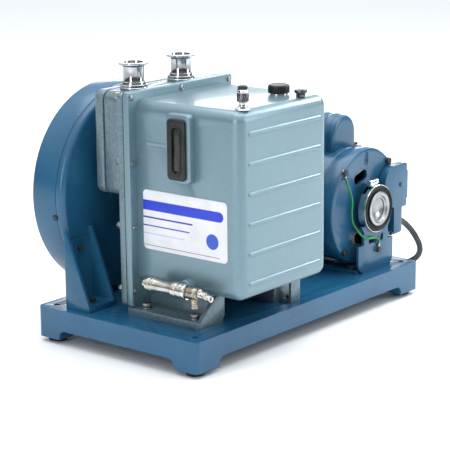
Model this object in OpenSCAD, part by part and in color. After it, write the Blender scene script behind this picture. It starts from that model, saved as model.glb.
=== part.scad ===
// Belt-driven two-stage rotary vane vacuum pump on a base with its motor.
// Bench coordinates: X runs along the base from the pump end to the motor end,
// Y runs back along the two shafts, and Z is the height above the floor. Every
// sub-part is drawn in bench coordinates and then moved so that the origin is
// at the middle of the machine's footprint.

/* [Base] */
// Length of the base along X
base_l = 500; // [490:2:512]
// Depth of the base along Y
base_w = 277; // [270:1:286]
// Height of the base's top face above the floor
base_h = 48; // [46:1:50]
// Wall thickness of the base casting
base_wall = 5; // [4:1:6]
// Height of the rubber feet
foot_h = 6.5; // [5:0.5:8]
// Radius of the rubber feet
foot_r = 13; // [11:1:14]
// Radius of the hold-down holes in the base's corners
hold_r = 4.5; // [4:0.5:5]

/* [Oil case] */
// Width of the oil case along X
case_w = 183; // [181:1:185]
// Depth of the oil case from its front to its flange
case_d = 171; // [168:1:174]
// Height of the oil case
case_h = 240; // [238:1:242]
// Gap between the base and the underside of the oil case
case_gap = 42; // [40:1:44]
// Wall thickness of the oil case
case_wall = 4; // [3:0.5:5]
// Radius of the oil case's vertical corners
case_r = 12; // [8:1:14]
// Number of stiffening ribs on the case front
rib_count = 6; // [3:1:6]
// Width of the case flange beyond the case walls
flange_edge = 13; // [12:0.5:14]
// Thickness of the case flange
flange_t = 9; // [7:0.5:10]

/* [Pump] */
// Height of the pump shaft above the floor
shaft_z = 182; // [180:1:183]
// Radius of the pump shaft
shaft_r = 10; // [8:0.5:10]
// Bore radius of the two stators
stator_r = 46; // [44:0.5:46]
// Offset of the stator bores below the shaft
stator_drop = 6; // [5.5:0.5:6]
// Length of the first stage's rotor chamber
stage_1_l = 60; // [50:1:60]
// Length of the second stage's rotor chamber
stage_2_l = 35; // [25:1:38]
// Outer radius of the KF 25 vacuum flanges
kf_r = 20; // [20:1:20]
// Bore radius of the KF 25 vacuum flanges
kf_bore_r = 12; // [11:0.5:12]

/* [Drive] */
// Height of the motor shaft above the base's top face
motor_rise = 89; // [88:1:90]
// Radius of the motor's shell
motor_r = 82; // [80:1:83]
// Pitch radius of the pump's pulley
pump_pitch_r = 120; // [110:1:120]
// Speed ratio of the motor to the pump
drive_ratio = 3.3333; // [3:0.0001:3.4]
// Radius of the belt guard's large end
guard_r = 141; // [138:1:142]
// Thickness of the belt guard's sheet metal
guard_t = 1.5; // [1:0.5:2]

/* [Cord] */
// Diameter of the power cord
cord_d = 9; // [8:0.5:10]
// Mean radius of the coiled stretch
coil_r = 54; // [50:1:60]

/* [Hidden] */
$fn = 64;

blue = "#2f6488";
grey_green = "#71898c";
steel = "#b9bcbd";
zinc = "#a9a69b";
chrome = "#d6d8da";
black = "#1b1c1e";
brass = "#b08d4a";
aluminium = "#c3c6c8";

// Stations along Y, from the front of the oil case to the back of the guard.
case_y = -26;
flange_y = case_y + case_d;
gasket_t = 1;
plate_y = flange_y + flange_t + gasket_t;
plate_t = 10;
block_y = plate_y + plate_t;
block_t = 37;
cover_y = block_y + block_t + 2;
cover_t = 14;
guard_y = 236;
guard_seam_y = 248;
guard_end_y = 293;
belt_y = 270;

// Oil case and the plate stack behind it.
case_x = 56;
case_z = base_h + case_gap;
case_top = case_z + case_h;
case_mid = case_x + case_w / 2;
flange_x0 = case_x - flange_edge;
flange_x1 = case_x + case_w + flange_edge;
flange_z0 = base_h + 9;
flange_z1 = case_top + flange_edge - 2;
rib_z0 = case_z + 21;
rib_pitch = 38.2;
rib_inset = 18;
screw_inset = 6;
screw_rows = 4;
screw_pitch_z = 84.6;
screw_top_z = flange_z1 - 7.5;
mid_screw_z = flange_z1 - 6.5;

// Port block behind the body plate, with the two vacuum ports on its top.
block_z0 = base_h + 151.5;
block_z1 = case_top + 6;
port_x = [97, 191];
port_y = block_y + block_t / 2;

// Pump module inside the oil case.
shaft_x = 152;
rotor_r = stator_r - stator_drop - 0.2;
bore_z = shaft_z - stator_drop;
module_r = 58;
stage_1_y0 = plate_y - stage_1_l;
centre_y0 = stage_1_y0 - 12;
stage_2_y0 = centre_y0 - stage_2_l;
end_y0 = stage_2_y0 - 12;
stud_r = 3.2;
stud_circle_r = 52.5;
vane_t = 4.8;
vane_depth = 24;

// Motor.
motor_x = 426;
motor_z = base_h + motor_rise;
motor_shaft_r = 7.94;
bell_y = 42;
shell_y0 = 66;
shell_y1 = 186;
bell_end_y = 206;
hub_r = 22;
ring_r = 33;
band_r = 34.2;
front_ring_y = 18;
rear_ring_y = 208;
ring_l = 17;
vent_r = 47;
cap_x = 426;
cap_z = motor_z + 99;
bell_r = motor_r + 2;
bell_screws = [for (sx = [-54, 54], sz = [-58, 58]) [motor_x + sx, motor_z + sz]];
cradle_y0 = 24;
cradle_y1 = 218;
apron_half = 43;
apron_corner = 14;
ground_screw = [430, 76];

// Belt drive.
motor_pitch_r = pump_pitch_r / drive_ratio;
belt_half = 4;
groove_lip = 5;
guard_z = 191;
guard_small_r = 56;
guard_tab = [38, 126];
guard_screw_angles = [110, 189, 262];

// Fill and vent fittings on the case's top.
ballast_at = [78, -13];
fill_at = [200, 25];
vent_at = [199, -11];

// Drain line beside the case.
drain_x = 36;
drain_z = 98;
drain_boss_y = 60;
drain_boss_x = case_x - 8;
drain_collar_r = 10.8;

// Terminal box beside the motor.
box_x0 = 455;
box_x1 = 511;
box_front_y = 31.5;
box_z0 = 125;
box_z1 = 189;
box_screw_x = 496;
box_screw_z = [140, 159];
side_plate_t = 3;
gland_at = [511, 63, 93];
gland_l = 24;

// Cord route from the gland, past the base's end and along the floor.
cord_r = cord_d / 2;
cord_route = [
    [535, 63, 93], [546, 64, 91], [558, 65, 86], [570, 65, 78], [582, 64, 67], [592, 62, 54],
    [601, 62, 40], [608, 67, 27], [612, 79, 14.5], [612, 96, 6.5], [609, 114, 4.5], [602, 136, 4.5],
    [593, 160, 4.5], [583, 190, 4.5], [573, 220, 4.5], [561, 250, 4.5], [547, 278, 4.5],
    [530, 304, 4.5], [513, 327, 4.5], [500, 348, 4.5], [493, 372, 4.5]
];
coil_at = [430, 372];
coil_rows = 2;
coil_cols = 3;
tail_route = [[430, 435, 13.5], [412, 436, 11], [394, 437, 7], [380, 437, 4.8], [365, 437, 4.5]];
plug_at = [365, 437, 12];

// Footprint of the machine, which the origin is centred on.
span_x0 = 0;
span_x1 = box_x1 + side_plate_t;
span_y0 = case_y - 2;
span_y1 = guard_end_y;

// ---------------------------------------------------------------- helpers

// Moves a sub-part from bench coordinates to the machine's own origin.
module on_bench() {
    translate([-(span_x0 + span_x1) / 2, -(span_y0 + span_y1) / 2, 0]) children();
}

// Round bar along each axis, from a start to an end.
module rod_x(r, x0, x1, y, z) {
    translate([x0, y, z]) rotate([0, 90, 0]) cylinder(r = r, h = x1 - x0);
}

module rod_y(r, y0, y1, x, z) {
    translate([x, y0, z]) rotate([-90, 0, 0]) cylinder(r = r, h = y1 - y0);
}

module rod_z(r, z0, z1, x, y) {
    translate([x, y, z0]) cylinder(r = r, h = z1 - z0);
}

module hex_y(r, y0, y1, x, z) {
    translate([x, y0, z]) rotate([-90, 0, 0]) cylinder(r = r, h = y1 - y0, $fn = 6);
}

module hex_z(r, z0, z1, x, y) {
    translate([x, y, z0]) cylinder(r = r, h = z1 - z0, $fn = 6);
}

module ring_y(ro, ri, y0, y1, x, z) {
    difference() {
        rod_y(ro, y0, y1, x, z);
        rod_y(ri, y0 - 1, y1 + 1, x, z);
    }
}

// Extrudes an outline drawn in X and Z between two Y stations.
module slab_y(y0, y1) {
    translate([0, y1, 0]) rotate([90, 0, 0]) linear_extrude(y1 - y0) children();
}

// Extrudes an outline drawn in Y and Z between two X stations.
module slab_x(x0, x1) {
    translate([x0, 0, 0]) rotate([90, 0, 90]) linear_extrude(x1 - x0) children();
}

// Rectangle with round corners, from its lower left to its upper right corner.
module round_rect(a0, b0, a1, b1, r) {
    translate([a0 + r, b0]) square([a1 - a0 - 2 * r, b1 - b0]);
    translate([a0, b0 + r]) square([a1 - a0, b1 - b0 - 2 * r]);
    for (a = [a0 + r, a1 - r], b = [b0 + r, b1 - r]) translate([a, b]) circle(r);
}

module round_box(x0, y0, z0, x1, y1, z1, r) {
    translate([0, 0, z0]) linear_extrude(z1 - z0) round_rect(x0, y0, x1, y1, r);
}

module block(x0, y0, z0, x1, y1, z1) {
    translate([x0, y0, z0]) cube([x1 - x0, y1 - y0, z1 - z0]);
}

// Socket or hex screw standing on a face that looks up.
module bolt_down(x, y, z, shank_r, head_r, head_h, shank_l) {
    hex_z(head_r, z, z + head_h, x, y);
    rod_z(shank_r, z - shank_l, z + 0.5, x, y);
}

// Outline around two circles and the two straight runs between them.
module belt_outline(r1, r2, c1, c2) {
    hull() {
        translate(c1) circle(r1, $fn = 120);
        translate(c2) circle(r2, $fn = 96);
    }
}

// ---------------------------------------------------------------- cords

function unit(v) = v / norm(v);
function pick(p, i) = p[max(0, min(len(p) - 1, i))];
function spline(a, b, c, d, t) =
    0.5 * (2 * b + (c - a) * t + (2 * a - 5 * b + 4 * c - d) * t * t
    + (3 * b - a - 3 * c + d) * t * t * t);
function smooth_route(p, steps) = [
    for (i = [0:len(p) - 2], k = [0:steps - 1])
        spline(pick(p, i - 1), p[i], p[i + 1], pick(p, i + 2), k / steps),
    p[len(p) - 1]
];
function heading(p, i) = unit(pick(p, i + 1) - pick(p, i - 1));
// Side vectors carried along the route without twist.
function carry(p, i, s) = i >= len(p) ? [] :
    let (h = heading(p, i), t = unit(s - (s * h) * h)) concat([t], carry(p, i + 1, t));

// Round tube swept along a route, with flat ends.
module tube(route, r, sides) {
    n = len(route);
    sides_at = carry(route, 0, unit(cross(heading(route, 0), [0.2, 1, 0.3])));
    rings = [
        for (i = [0:n - 1], k = [0:sides - 1])
            let (s = sides_at[i], u = cross(s, heading(route, i)), a = 360 * k / sides)
                route[i] + r * (cos(a) * s + sin(a) * u)
    ];
    walls = [
        for (i = [0:n - 2], k = [0:sides - 1])
            let (q = (k + 1) % sides)
                [i * sides + q, (i + 1) * sides + q, (i + 1) * sides + k, i * sides + k]
    ];
    first = [for (k = [sides - 1:-1:0]) k];
    last = [for (k = [0:sides - 1]) (n - 1) * sides + k];
    polyhedron(points = rings, faces = concat(walls, [first, last]));
}

// ---------------------------------------------------------------- base

leg_x = 44;
leg_y = 38;
leg_z = foot_h;
skirt_z = 19.5;
base_r = 7;
hold_inset = 18;
foot_bolt_x = [56, 2 * case_mid - 56];
foot_bolt_y = [50, 132];
cradle_bolt_x = [392, 460];
cradle_bolt_y = [42, 198];
bracket_bolt = [38, 214];
support_bolt = [222, 25];
bolt_hole_r = 3.3;
hold_xs = [hold_inset, base_l - hold_inset];
hold_ys = [hold_inset, base_w - hold_inset];

module leg(x0, y0) {
    round_box(x0, y0, leg_z, x0 + leg_x, y0 + leg_y, base_h - 1, base_r);
}

module base_plate() color(blue) on_bench() {
    w = base_wall;
    difference() {
        union() {
            difference() {
                round_box(0, 0, skirt_z, base_l, base_w, base_h, base_r);
                round_box(w, w, skirt_z - 1, base_l - w, base_w - w, base_h - w, base_r - w);
            }
            for (x = [0, base_l - leg_x], y = [0, base_w - leg_y]) leg(x, y);
        }
        for (x = hold_xs, y = hold_ys) rod_z(hold_r, 0, base_h + 1, x, y);
        for (x = foot_bolt_x, y = foot_bolt_y) rod_z(bolt_hole_r, 0, base_h + 1, x, y);
        for (x = cradle_bolt_x, y = cradle_bolt_y) rod_z(bolt_hole_r, 0, base_h + 1, x, y);
        rod_z(bolt_hole_r, 0, base_h + 1, bracket_bolt[0], bracket_bolt[1]);
        rod_z(bolt_hole_r, 0, base_h + 1, support_bolt[0], support_bolt[1]);
    }
}

module rubber_feet() color(black) on_bench() {
    for (x = hold_xs, y = hold_ys) {
        difference() {
            rod_z(foot_r, 0, foot_h, x, y);
            rod_z(hold_r, -1, foot_h + 1, x, y);
        }
    }
}

// ---------------------------------------------------------------- oil case

sight_y0 = 51.5;
sight_y1 = 81;
sight_z0 = 237;
sight_z1 = 315;
sight_boss_x = case_x - 10;
flange_columns = [flange_x0 + screw_inset, case_mid, flange_x1 - screw_inset];
side_columns = [flange_columns[0], flange_columns[2]];

function row_z(i) = screw_top_z - i * screw_pitch_z;

module flange_holes(y0, y1, r) {
    for (x = side_columns, i = [0:screw_rows - 1]) rod_y(r, y0, y1, x, row_z(i));
    rod_y(r, y0, y1, case_mid, mid_screw_z);
}

module case_rib(z) {
    x0 = case_x + rib_inset;
    x1 = case_x + case_w - rib_inset;
    rod_x(2.6, x0, x1, case_y + 0.6, z);
    for (x = [x0, x1]) translate([x, case_y + 0.6, z]) sphere(2.6, $fn = 32);
}

module case_cavity() {
    t = case_wall;
    round_box(case_x + t, case_y + t, case_z + t, case_x + case_w - t, flange_y + 40,
        case_top - t, case_r - t);
}

module oil_case() color(grey_green) on_bench() {
    difference() {
        union() {
            round_box(case_x, case_y, case_z, case_x + case_w, flange_y + 2 * case_r,
                case_top, case_r);
            slab_y(flange_y, flange_y + flange_t)
                round_rect(flange_x0, flange_z0, flange_x1, flange_z1, 5);
            for (i = [0:rib_count - 1]) case_rib(rib_z0 + i * rib_pitch);
            slab_x(sight_boss_x, case_x + 1)
                round_rect(sight_y0 - 5, sight_z0 - 4, sight_y1 + 5, sight_z1 + 6, 7);
            rod_x(12.5, drain_boss_x, case_x + 1, drain_boss_y, drain_z);
            slab_x(case_x - 1, case_x + 1) round_rect(sight_y1 + 5, 270, 128, 279, 1);
        }
        block(flange_x0 - 1, flange_y + flange_t, 0, flange_x1 + 1, flange_y + 60, 400);
        case_cavity();
        flange_holes(flange_y - 1, flange_y + 20, 2.6);
        slab_x(sight_boss_x - 1, case_x + 10)
            round_rect(sight_y0 + 9, sight_z0 + 10, sight_y1 - 9, sight_z1 - 10, 5);
        rod_x(5, drain_boss_x - 1, case_x + 10, drain_boss_y, drain_z);
        rod_z(4.6, case_top - 10, case_top + 5, ballast_at[0], ballast_at[1]);
        rod_z(9, case_top - 10, case_top + 5, fill_at[0], fill_at[1]);
        rod_z(3.5, case_top - 10, case_top + 5, vent_at[0], vent_at[1]);
    }
}

module body_gaskets() color(black) on_bench() {
    y0 = flange_y + flange_t;
    t = case_wall;
    difference() {
        slab_y(y0, y0 + gasket_t) round_rect(flange_x0, flange_z0, flange_x1, flange_z1, 5);
        block(case_x + t, y0 - 1, case_z + t, case_x + case_w - t, plate_y + 1, case_top - t);
        flange_holes(y0 - 1, y0 + 3, 2.6);
    }
    difference() {
        slab_y(block_y + block_t, cover_y)
            round_rect(case_x + 6, block_z0 + 4, case_x + case_w - 6, block_z1 - 4, 8);
        for (x = block_screw_x, z = block_screw_z)
            rod_y(3.3, block_y + block_t - 1, cover_y + 1, x, z);
    }
}

// ---------------------------------------------------------------- body

block_screw_x = [case_x + 16, case_x + case_w - 16];
block_screw_z = [block_z0 + 14, block_z1 - 14];
intake_drop_z = block_z0 + 20;
intake_cross = [128, 220];
exhaust_duct_z = case_top - 70;

module body_plate() color(grey_green) on_bench() {
    difference() {
        slab_y(plate_y, plate_y + plate_t)
            round_rect(flange_x0 + 1, flange_z0 + 1, flange_x1 - 1, flange_z1 - 4, 5);
        rod_y(shaft_r + 0.05, plate_y - 1, plate_y + 20, shaft_x, shaft_z);
        for (x = side_columns, i = [0:screw_rows - 1])
            rod_y(2.6, plate_y - 1, plate_y + 20, x, row_z(i));
        rod_y(2.6, plate_y - 1, plate_y + 7, case_mid, mid_screw_z);
        rod_y(5.5, plate_y - 1, plate_y + 20, intake_cross[0], intake_cross[1]);
        rod_y(8, plate_y - 1, plate_y + 20, port_x[1], exhaust_duct_z);
        module_studs(plate_y - 1, plate_y + 7, stud_r);
    }
}

// Left foot casting: a shelf under the flange, a web and a sloping front gusset.
module pump_foot() {
    x0 = flange_x0 + 1;
    x1 = x0 + 51;
    y0 = 33;
    web_x = x1 - 16;
    difference() {
        union() {
            round_box(x0, y0, base_h, x1, flange_y + 4, flange_z0, 4);
            block(x0, flange_y - 4, base_h, x1, flange_y + flange_t, flange_z0);
            block(web_x, y0 + 4, base_h + 1, x1, flange_y, case_z);
            slab_y(y0, y0 + 6) polygon([
                [x0 + 5, base_h + 1], [x0 + 5, flange_z0 + 1], [web_x, case_z - 6],
                [x1, case_z - 6], [x1, base_h + 8], [x1 - 5, base_h + 1]
            ]);
        }
        for (y = foot_bolt_y) rod_z(bolt_hole_r, base_h - 1, flange_z0 + 2, foot_bolt_x[0], y);
    }
}

module pump_feet() color(grey_green) on_bench() {
    pump_foot();
    translate([2 * case_mid, 0, 0]) mirror([1, 0, 0]) pump_foot();
}

module foot_bolts() color(zinc) on_bench() {
    for (x = foot_bolt_x, y = foot_bolt_y) {
        rod_z(7, flange_z0, flange_z0 + 1.5, x, y);
        bolt_down(x, y, flange_z0 + 1.5, 3.1, 6, 5.5, flange_z0 + 1.5 - base_h + base_wall);
    }
}

module case_support() color(grey_green) on_bench() {
    x0 = support_bolt[0] - 10;
    x1 = support_bolt[0] + 10;
    y0 = 14;
    difference() {
        union() {
            block(x0, y0, base_h, x1, y0 + 4, case_z);
            block(x0, y0, base_h, x1, y0 + 18, base_h + 4);
            block(x0, y0, case_z - 4, x1, y0 + 18, case_z);
        }
        rod_z(bolt_hole_r, base_h - 1, base_h + 5, support_bolt[0], support_bolt[1]);
    }
}

module port_outline(inset) {
    round_rect(case_x + 2 + inset, block_z0 + inset, case_x + case_w - 2 - inset,
        block_z1 - inset, 12);
}

module port_block() color(grey_green) on_bench() {
    difference() {
        slab_y(block_y, block_y + block_t) port_outline(0);
        rod_z(10, intake_cross[1], block_z1 + 1, port_x[0], port_y);
        rod_x(5.5, port_x[0], intake_cross[0], port_y, intake_cross[1]);
        rod_y(5.5, block_y - 1, port_y, intake_cross[0], intake_cross[1]);
        rod_z(10, exhaust_duct_z, block_z1 + 1, port_x[1], port_y);
        rod_y(8, block_y - 1, port_y, port_x[1], exhaust_duct_z);
        for (x = block_screw_x, z = block_screw_z)
            rod_y(3.3, block_y + block_t - 18, block_y + block_t + 1, x, z);
    }
}

module block_cover() color(grey_green) on_bench() {
    difference() {
        slab_y(cover_y, cover_y + cover_t) port_outline(0);
        for (x = block_screw_x, z = block_screw_z)
            rod_y(3.3, cover_y - 1, cover_y + cover_t + 1, x, z);
    }
}

// Flange screws with nuts, port-cover screws and the long studs of the pump module.
module body_fasteners() color(zinc) on_bench() {
    back_y = cover_y + cover_t;
    for (x = side_columns, i = [0:screw_rows - 1]) {
        rod_y(3.6, flange_y - 2, flange_y, x, row_z(i));
        rod_y(2.5, flange_y - 0.5, block_y + 9, x, row_z(i));
        hex_y(5.4, block_y, block_y + 6, x, row_z(i));
    }
    rod_y(3.6, flange_y - 2, flange_y, case_mid, mid_screw_z);
    rod_y(2.5, flange_y - 0.5, plate_y + 6, case_mid, mid_screw_z);
    for (x = block_screw_x, z = block_screw_z) {
        hex_y(5.8, back_y, back_y + 4.5, x, z);
        rod_y(3.2, block_y + block_t - 17, back_y + 0.5, x, z);
    }
    for (a = [45:90:315])
        let (x = shaft_x + stud_circle_r * cos(a), z = bore_z + stud_circle_r * sin(a)) {
            hex_y(5.4, end_y0 - 4, end_y0, x, z);
            rod_y(stud_r - 0.1, end_y0 - 0.5, plate_y + 6, x, z);
        }
}

module kf_flange(x) {
    neck_h = 29.5;
    rim_h = 35;
    translate([x, port_y, block_z1]) difference() {
        rotate_extrude() polygon([
            [kf_bore_r, 0], [18.4, 0], [18.4, 5], [kf_bore_r + 2.5, 6.5], [kf_bore_r + 2, 9],
            [kf_bore_r + 2, neck_h], [kf_r, neck_h + 2.2], [kf_r, rim_h], [kf_bore_r, rim_h]
        ]);
        translate([0, 0, rim_h - 3]) cylinder(r = 13.1, h = 4);
    }
}

module intake_flange() color(chrome) on_bench() kf_flange(port_x[0]);

module exhaust_flange() color(chrome) on_bench() kf_flange(port_x[1]);

// ---------------------------------------------------------------- case fittings

module sight_slot(grow) {
    round_rect(sight_y0 + 9 - grow, sight_z0 + 10 - grow, sight_y1 - 9 + grow,
        sight_z1 - 10 + grow, 5);
}

module sight_glass_frame() color(black) on_bench() {
    difference() {
        slab_x(sight_boss_x - 4, sight_boss_x)
            round_rect(sight_y0, sight_z0, sight_y1, sight_z1, 6);
        slab_x(sight_boss_x - 5, sight_boss_x + 1) sight_slot(0);
    }
}

module sight_glass_lens() color([0.75, 0.7, 0.5, 0.5]) on_bench() {
    slab_x(sight_boss_x - 2, sight_boss_x + 8) sight_slot(-0.1);
}

module label_plate() color("#e9eaee") on_bench() {
    slab_x(case_x - 0.8, case_x) round_rect(-5, 138, 134, 216, 6);
}

module drain_pipe() color(chrome) on_bench() {
    rod_y(6, 109, 118, drain_x, drain_z);
    rod_y(drain_collar_r, 98, 110, drain_x, drain_z);
    rod_y(9.2, 66, 99, drain_x, drain_z);
    rod_y(drain_collar_r, 50, 68, drain_x, drain_z);
    rod_x(7, drain_x, drain_boss_x, drain_boss_y, drain_z);
    rod_x(4.8, drain_boss_x - 1, case_x + 2, drain_boss_y, drain_z);
}

module drain_valve() color(brass) on_bench() {
    x = drain_x;
    z = drain_z;
    difference() {
        union() {
            rod_y(drain_collar_r, 44, 50, x, z);
            rod_y(8.5, 26, 45, x, z);
            rod_z(5, z - 20, z, x, 34);
        }
        rod_z(3, z - 21, z, x, 34);
        rod_y(3, 22, 32, x, z);
    }
}

module drain_handle() color(chrome) on_bench() {
    x = drain_x;
    z = drain_z;
    rod_y(2.95, 12, 31, x, z);
    rod_y(6.5, 14, 25.7, x, z);
    slab_y(13, 18) translate([x, z]) rotate(-35) round_rect(-16.5, -5.5, 16.5, 5.5, 4.5);
}

module ballast_valve() color(chrome) on_bench() {
    x = ballast_at[0];
    y = ballast_at[1];
    rod_z(4.5, case_top - 8, case_top + 1, x, y);
    rod_z(9.3, case_top, case_top + 3, x, y);
    rod_z(5, case_top + 2, case_top + 10, x, y);
    rod_z(3, case_top + 9, case_top + 22, x, y);
}

module ballast_knob() color(black) on_bench() {
    x = ballast_at[0];
    y = ballast_at[1];
    difference() {
        union() {
            rod_z(7.5, case_top + 10.1, case_top + 24, x, y);
            rod_z(6, case_top + 23, case_top + 30, x, y);
        }
        rod_z(3.05, case_top + 9, case_top + 22.5, x, y);
    }
}

module fill_neck() color(aluminium) on_bench() {
    x = fill_at[0];
    y = fill_at[1];
    difference() {
        union() {
            rod_z(8.9, case_top - 8, case_top + 1, x, y);
            rod_z(11.5, case_top, case_top + 2, x, y);
        }
        rod_z(7, case_top - 9, case_top + 3, x, y);
    }
}

module fill_cap() color(black) on_bench() {
    x = fill_at[0];
    y = fill_at[1];
    rod_z(14.3, case_top + 2.1, case_top + 13, x, y);
    rod_z(6.9, case_top - 6, case_top + 3, x, y);
}

module vent_plug() color(chrome) on_bench() {
    x = vent_at[0];
    y = vent_at[1];
    rod_z(3.4, case_top - 8, case_top + 1, x, y);
    rod_z(6.6, case_top, case_top + 5, x, y);
    rod_z(8.4, case_top + 5, case_top + 10, x, y);
}

// ---------------------------------------------------------------- pump module

module module_studs(y0, y1, r) {
    for (a = [45:90:315])
        rod_y(r, y0, y1, shaft_x + stud_circle_r * cos(a), bore_z + stud_circle_r * sin(a));
}

module stator(y0, y1) {
    difference() {
        rod_y(module_r, y0, y1, shaft_x, bore_z);
        rod_y(stator_r, y0 - 1, y1 + 1, shaft_x, bore_z);
        module_studs(y0 - 1, y1 + 1, stud_r);
    }
}

module stage_1_stator() color(steel) on_bench() {
    difference() {
        stator(stage_1_y0, plate_y);
        rod_y(5.5, plate_y - 25, plate_y + 1, intake_cross[0], intake_cross[1]);
    }
}

module stage_2_stator() color(steel) on_bench() stator(stage_2_y0, centre_y0);

module stage_plates() color(steel) on_bench() {
    difference() {
        rod_y(module_r, centre_y0, stage_1_y0, shaft_x, bore_z);
        rod_y(shaft_r + 0.05, centre_y0 - 1, stage_1_y0 + 1, shaft_x, shaft_z);
        module_studs(centre_y0 - 1, stage_1_y0 + 1, stud_r);
    }
    difference() {
        rod_y(module_r, end_y0, stage_2_y0, shaft_x, bore_z);
        rod_y(shaft_r + 0.05, end_y0 + 3, stage_2_y0 + 1, shaft_x, shaft_z);
        module_studs(end_y0 - 1, stage_2_y0 + 1, stud_r);
    }
}

// Discharge valves: a strap over a reed on a flat pad above each stator.
module exhaust_valves() color(steel) on_bench() {
    z = bore_z + module_r;
    for (y = [stage_1_y0 + 12, stage_2_y0 + 5]) {
        block(shaft_x - 12, y, z, shaft_x + 12, y + 24, z + 1.5);
        for (dx = [-8, 8]) rod_z(2.6, z + 1.5, z + 4.5, shaft_x + dx, y + 12);
    }
}

module shaft_seal() color(black) on_bench() {
    ring_y(16, shaft_r + 0.05, block_y, block_y + 8, shaft_x, shaft_z);
}

module pump_shaft() color(steel) on_bench() {
    rod_y(shaft_r, end_y0 + 4, belt_y + 18, shaft_x, shaft_z);
}

module rotor(y0, y1) {
    difference() {
        rod_y(rotor_r, y0, y1, shaft_x, shaft_z);
        rod_y(shaft_r, y0 - 1, y1 + 1, shaft_x, shaft_z);
        for (s = [-1, 1]) translate([shaft_x + s * (rotor_r - vane_depth / 2), (y0 + y1) / 2, shaft_z])
            cube([vane_depth + 1, y1 - y0 + 2, vane_t + 0.2], center = true);
    }
}

module pump_rotors() color(steel) on_bench() {
    rotor(stage_1_y0 + 0.3, plate_y - 0.3);
    rotor(stage_2_y0 + 0.3, centre_y0 - 0.3);
}

module vanes() color("#4a3b2c") on_bench() {
    for (y = [[stage_1_y0 + 0.4, plate_y - 0.4], [stage_2_y0 + 0.4, centre_y0 - 0.4]])
        for (s = [-1, 1])
            translate([shaft_x + s * (rotor_r - 0.3 - vane_depth / 2), (y[0] + y[1]) / 2, shaft_z])
                cube([vane_depth, y[1] - y[0], vane_t], center = true);
}

// ---------------------------------------------------------------- belt drive

// Grooved pulley about an axis along Y: rim, web with round windows, and hub.
module pulley(x, z, pitch, bore, hub, windows) {
    lip = pitch + groove_lip;
    floor_r = pitch - 6;
    rim = pitch > 60 ? pitch - 20 : hub;
    translate([x, belt_y, z]) rotate([-90, 0, 0]) difference() {
        union() {
            rotate_extrude($fn = 96) polygon([
                [rim, -10], [lip, -10], [lip, -7.5], [floor_r, -5], [floor_r, 5],
                [lip, 7.5], [lip, 10], [rim, 10]
            ]);
            cylinder(r = rim + 1, h = 6, center = true);
            translate([0, 0, -12]) cylinder(r = hub, h = 26);
        }
        translate([0, 0, -13]) cylinder(r = bore, h = 40);
        for (i = [1:windows]) rotate(360 * i / windows) translate([(hub + rim) / 2, 0, 0])
            cylinder(r = (rim - hub) * 0.36, h = 30, center = true);
    }
}

module pump_pulley() color(steel) on_bench() pulley(shaft_x, shaft_z, pump_pitch_r, shaft_r, 24, 5);

module motor_pulley() color(steel) on_bench()
    pulley(motor_x, motor_z, motor_pitch_r, motor_shaft_r, 16, 0);

module drive_belt() color(black) on_bench() {
    c1 = [shaft_x, shaft_z];
    c2 = [motor_x, motor_z];
    slab_y(belt_y - 4.6, belt_y + 4.6) difference() {
        belt_outline(pump_pitch_r + belt_half, motor_pitch_r + belt_half, c1, c2);
        belt_outline(pump_pitch_r - belt_half, motor_pitch_r - belt_half, c1, c2);
    }
}

module guard_outline(inset) {
    belt_outline(guard_r - inset, guard_small_r - inset, [shaft_x, guard_z], [motor_x, motor_z]);
}

module guard_screw_places() {
    for (a = guard_screw_angles)
        translate([shaft_x, guard_seam_y + 3, guard_z]) rotate([0, -a, 0]) rotate([0, 90, 0]) children();
}

module guard_back() color(blue) on_bench() {
    difference() {
        union() {
            slab_y(guard_y, guard_seam_y) guard_outline(0);
            slab_y(guard_seam_y - 1, guard_seam_y + 7) guard_outline(guard_t + 0.1);
        }
        slab_y(guard_y + guard_t, guard_seam_y - 5) guard_outline(guard_t);
        slab_y(guard_seam_y - 6, guard_seam_y + 8) guard_outline(2 * guard_t);
        rod_y(14, guard_y - 1, guard_y + 5, shaft_x, shaft_z);
        rod_y(14, guard_y - 1, guard_y + 5, motor_x, motor_z);
        rod_y(2.6, guard_y - 1, guard_y + 5, guard_tab[0], guard_tab[1]);
        guard_screw_places() cylinder(r = 2.1, h = guard_r + 2);
    }
}

module guard_cover() color(blue) on_bench() {
    difference() {
        slab_y(guard_seam_y, guard_end_y) guard_outline(0);
        slab_y(guard_seam_y - 1, guard_end_y - guard_t) guard_outline(guard_t);
        guard_screw_places() cylinder(r = 2.1, h = guard_r + 2);
    }
}

module guard_bracket() color(blue) on_bench() {
    x0 = 12;
    x1 = 64;
    y0 = 194;
    top_z = 152;
    web = [[y0, base_h], [guard_y, base_h], [guard_y, top_z], [guard_y - 3, top_z], [y0, base_h + 8]];
    difference() {
        union() {
            for (x = [x0, x1 - 5]) slab_x(x, x + 5) polygon(web);
            block(x0, y0, base_h, x1, guard_y, base_h + 8);
            block(x0, guard_y - 3, base_h, x1, guard_y, top_z - 12);
        }
        rod_z(bolt_hole_r, base_h - 1, base_h + 9, bracket_bolt[0], bracket_bolt[1]);
        rod_y(2.6, guard_y - 6, guard_y + 1, guard_tab[0], guard_tab[1]);
    }
}

// Rim screws of the guard, its tab screw and the hold-down bolts of its bracket.
module guard_screws() color(black) on_bench() {
    guard_screw_places() {
        translate([0, 0, guard_r]) cylinder(r = 4, h = 1.8);
        translate([0, 0, guard_r - 5]) cylinder(r = 2, h = 5.5);
    }
    hex_y(4.5, guard_y - 7, guard_y - 3, guard_tab[0], guard_tab[1]);
    rod_y(2.5, guard_y - 3.5, guard_y + 5, guard_tab[0], guard_tab[1]);
}

// ---------------------------------------------------------------- motor

module motor_shell() color(blue) on_bench() {
    ring_y(motor_r, motor_r - 2.5, shell_y0, shell_y1, motor_x, motor_z);
}

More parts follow.
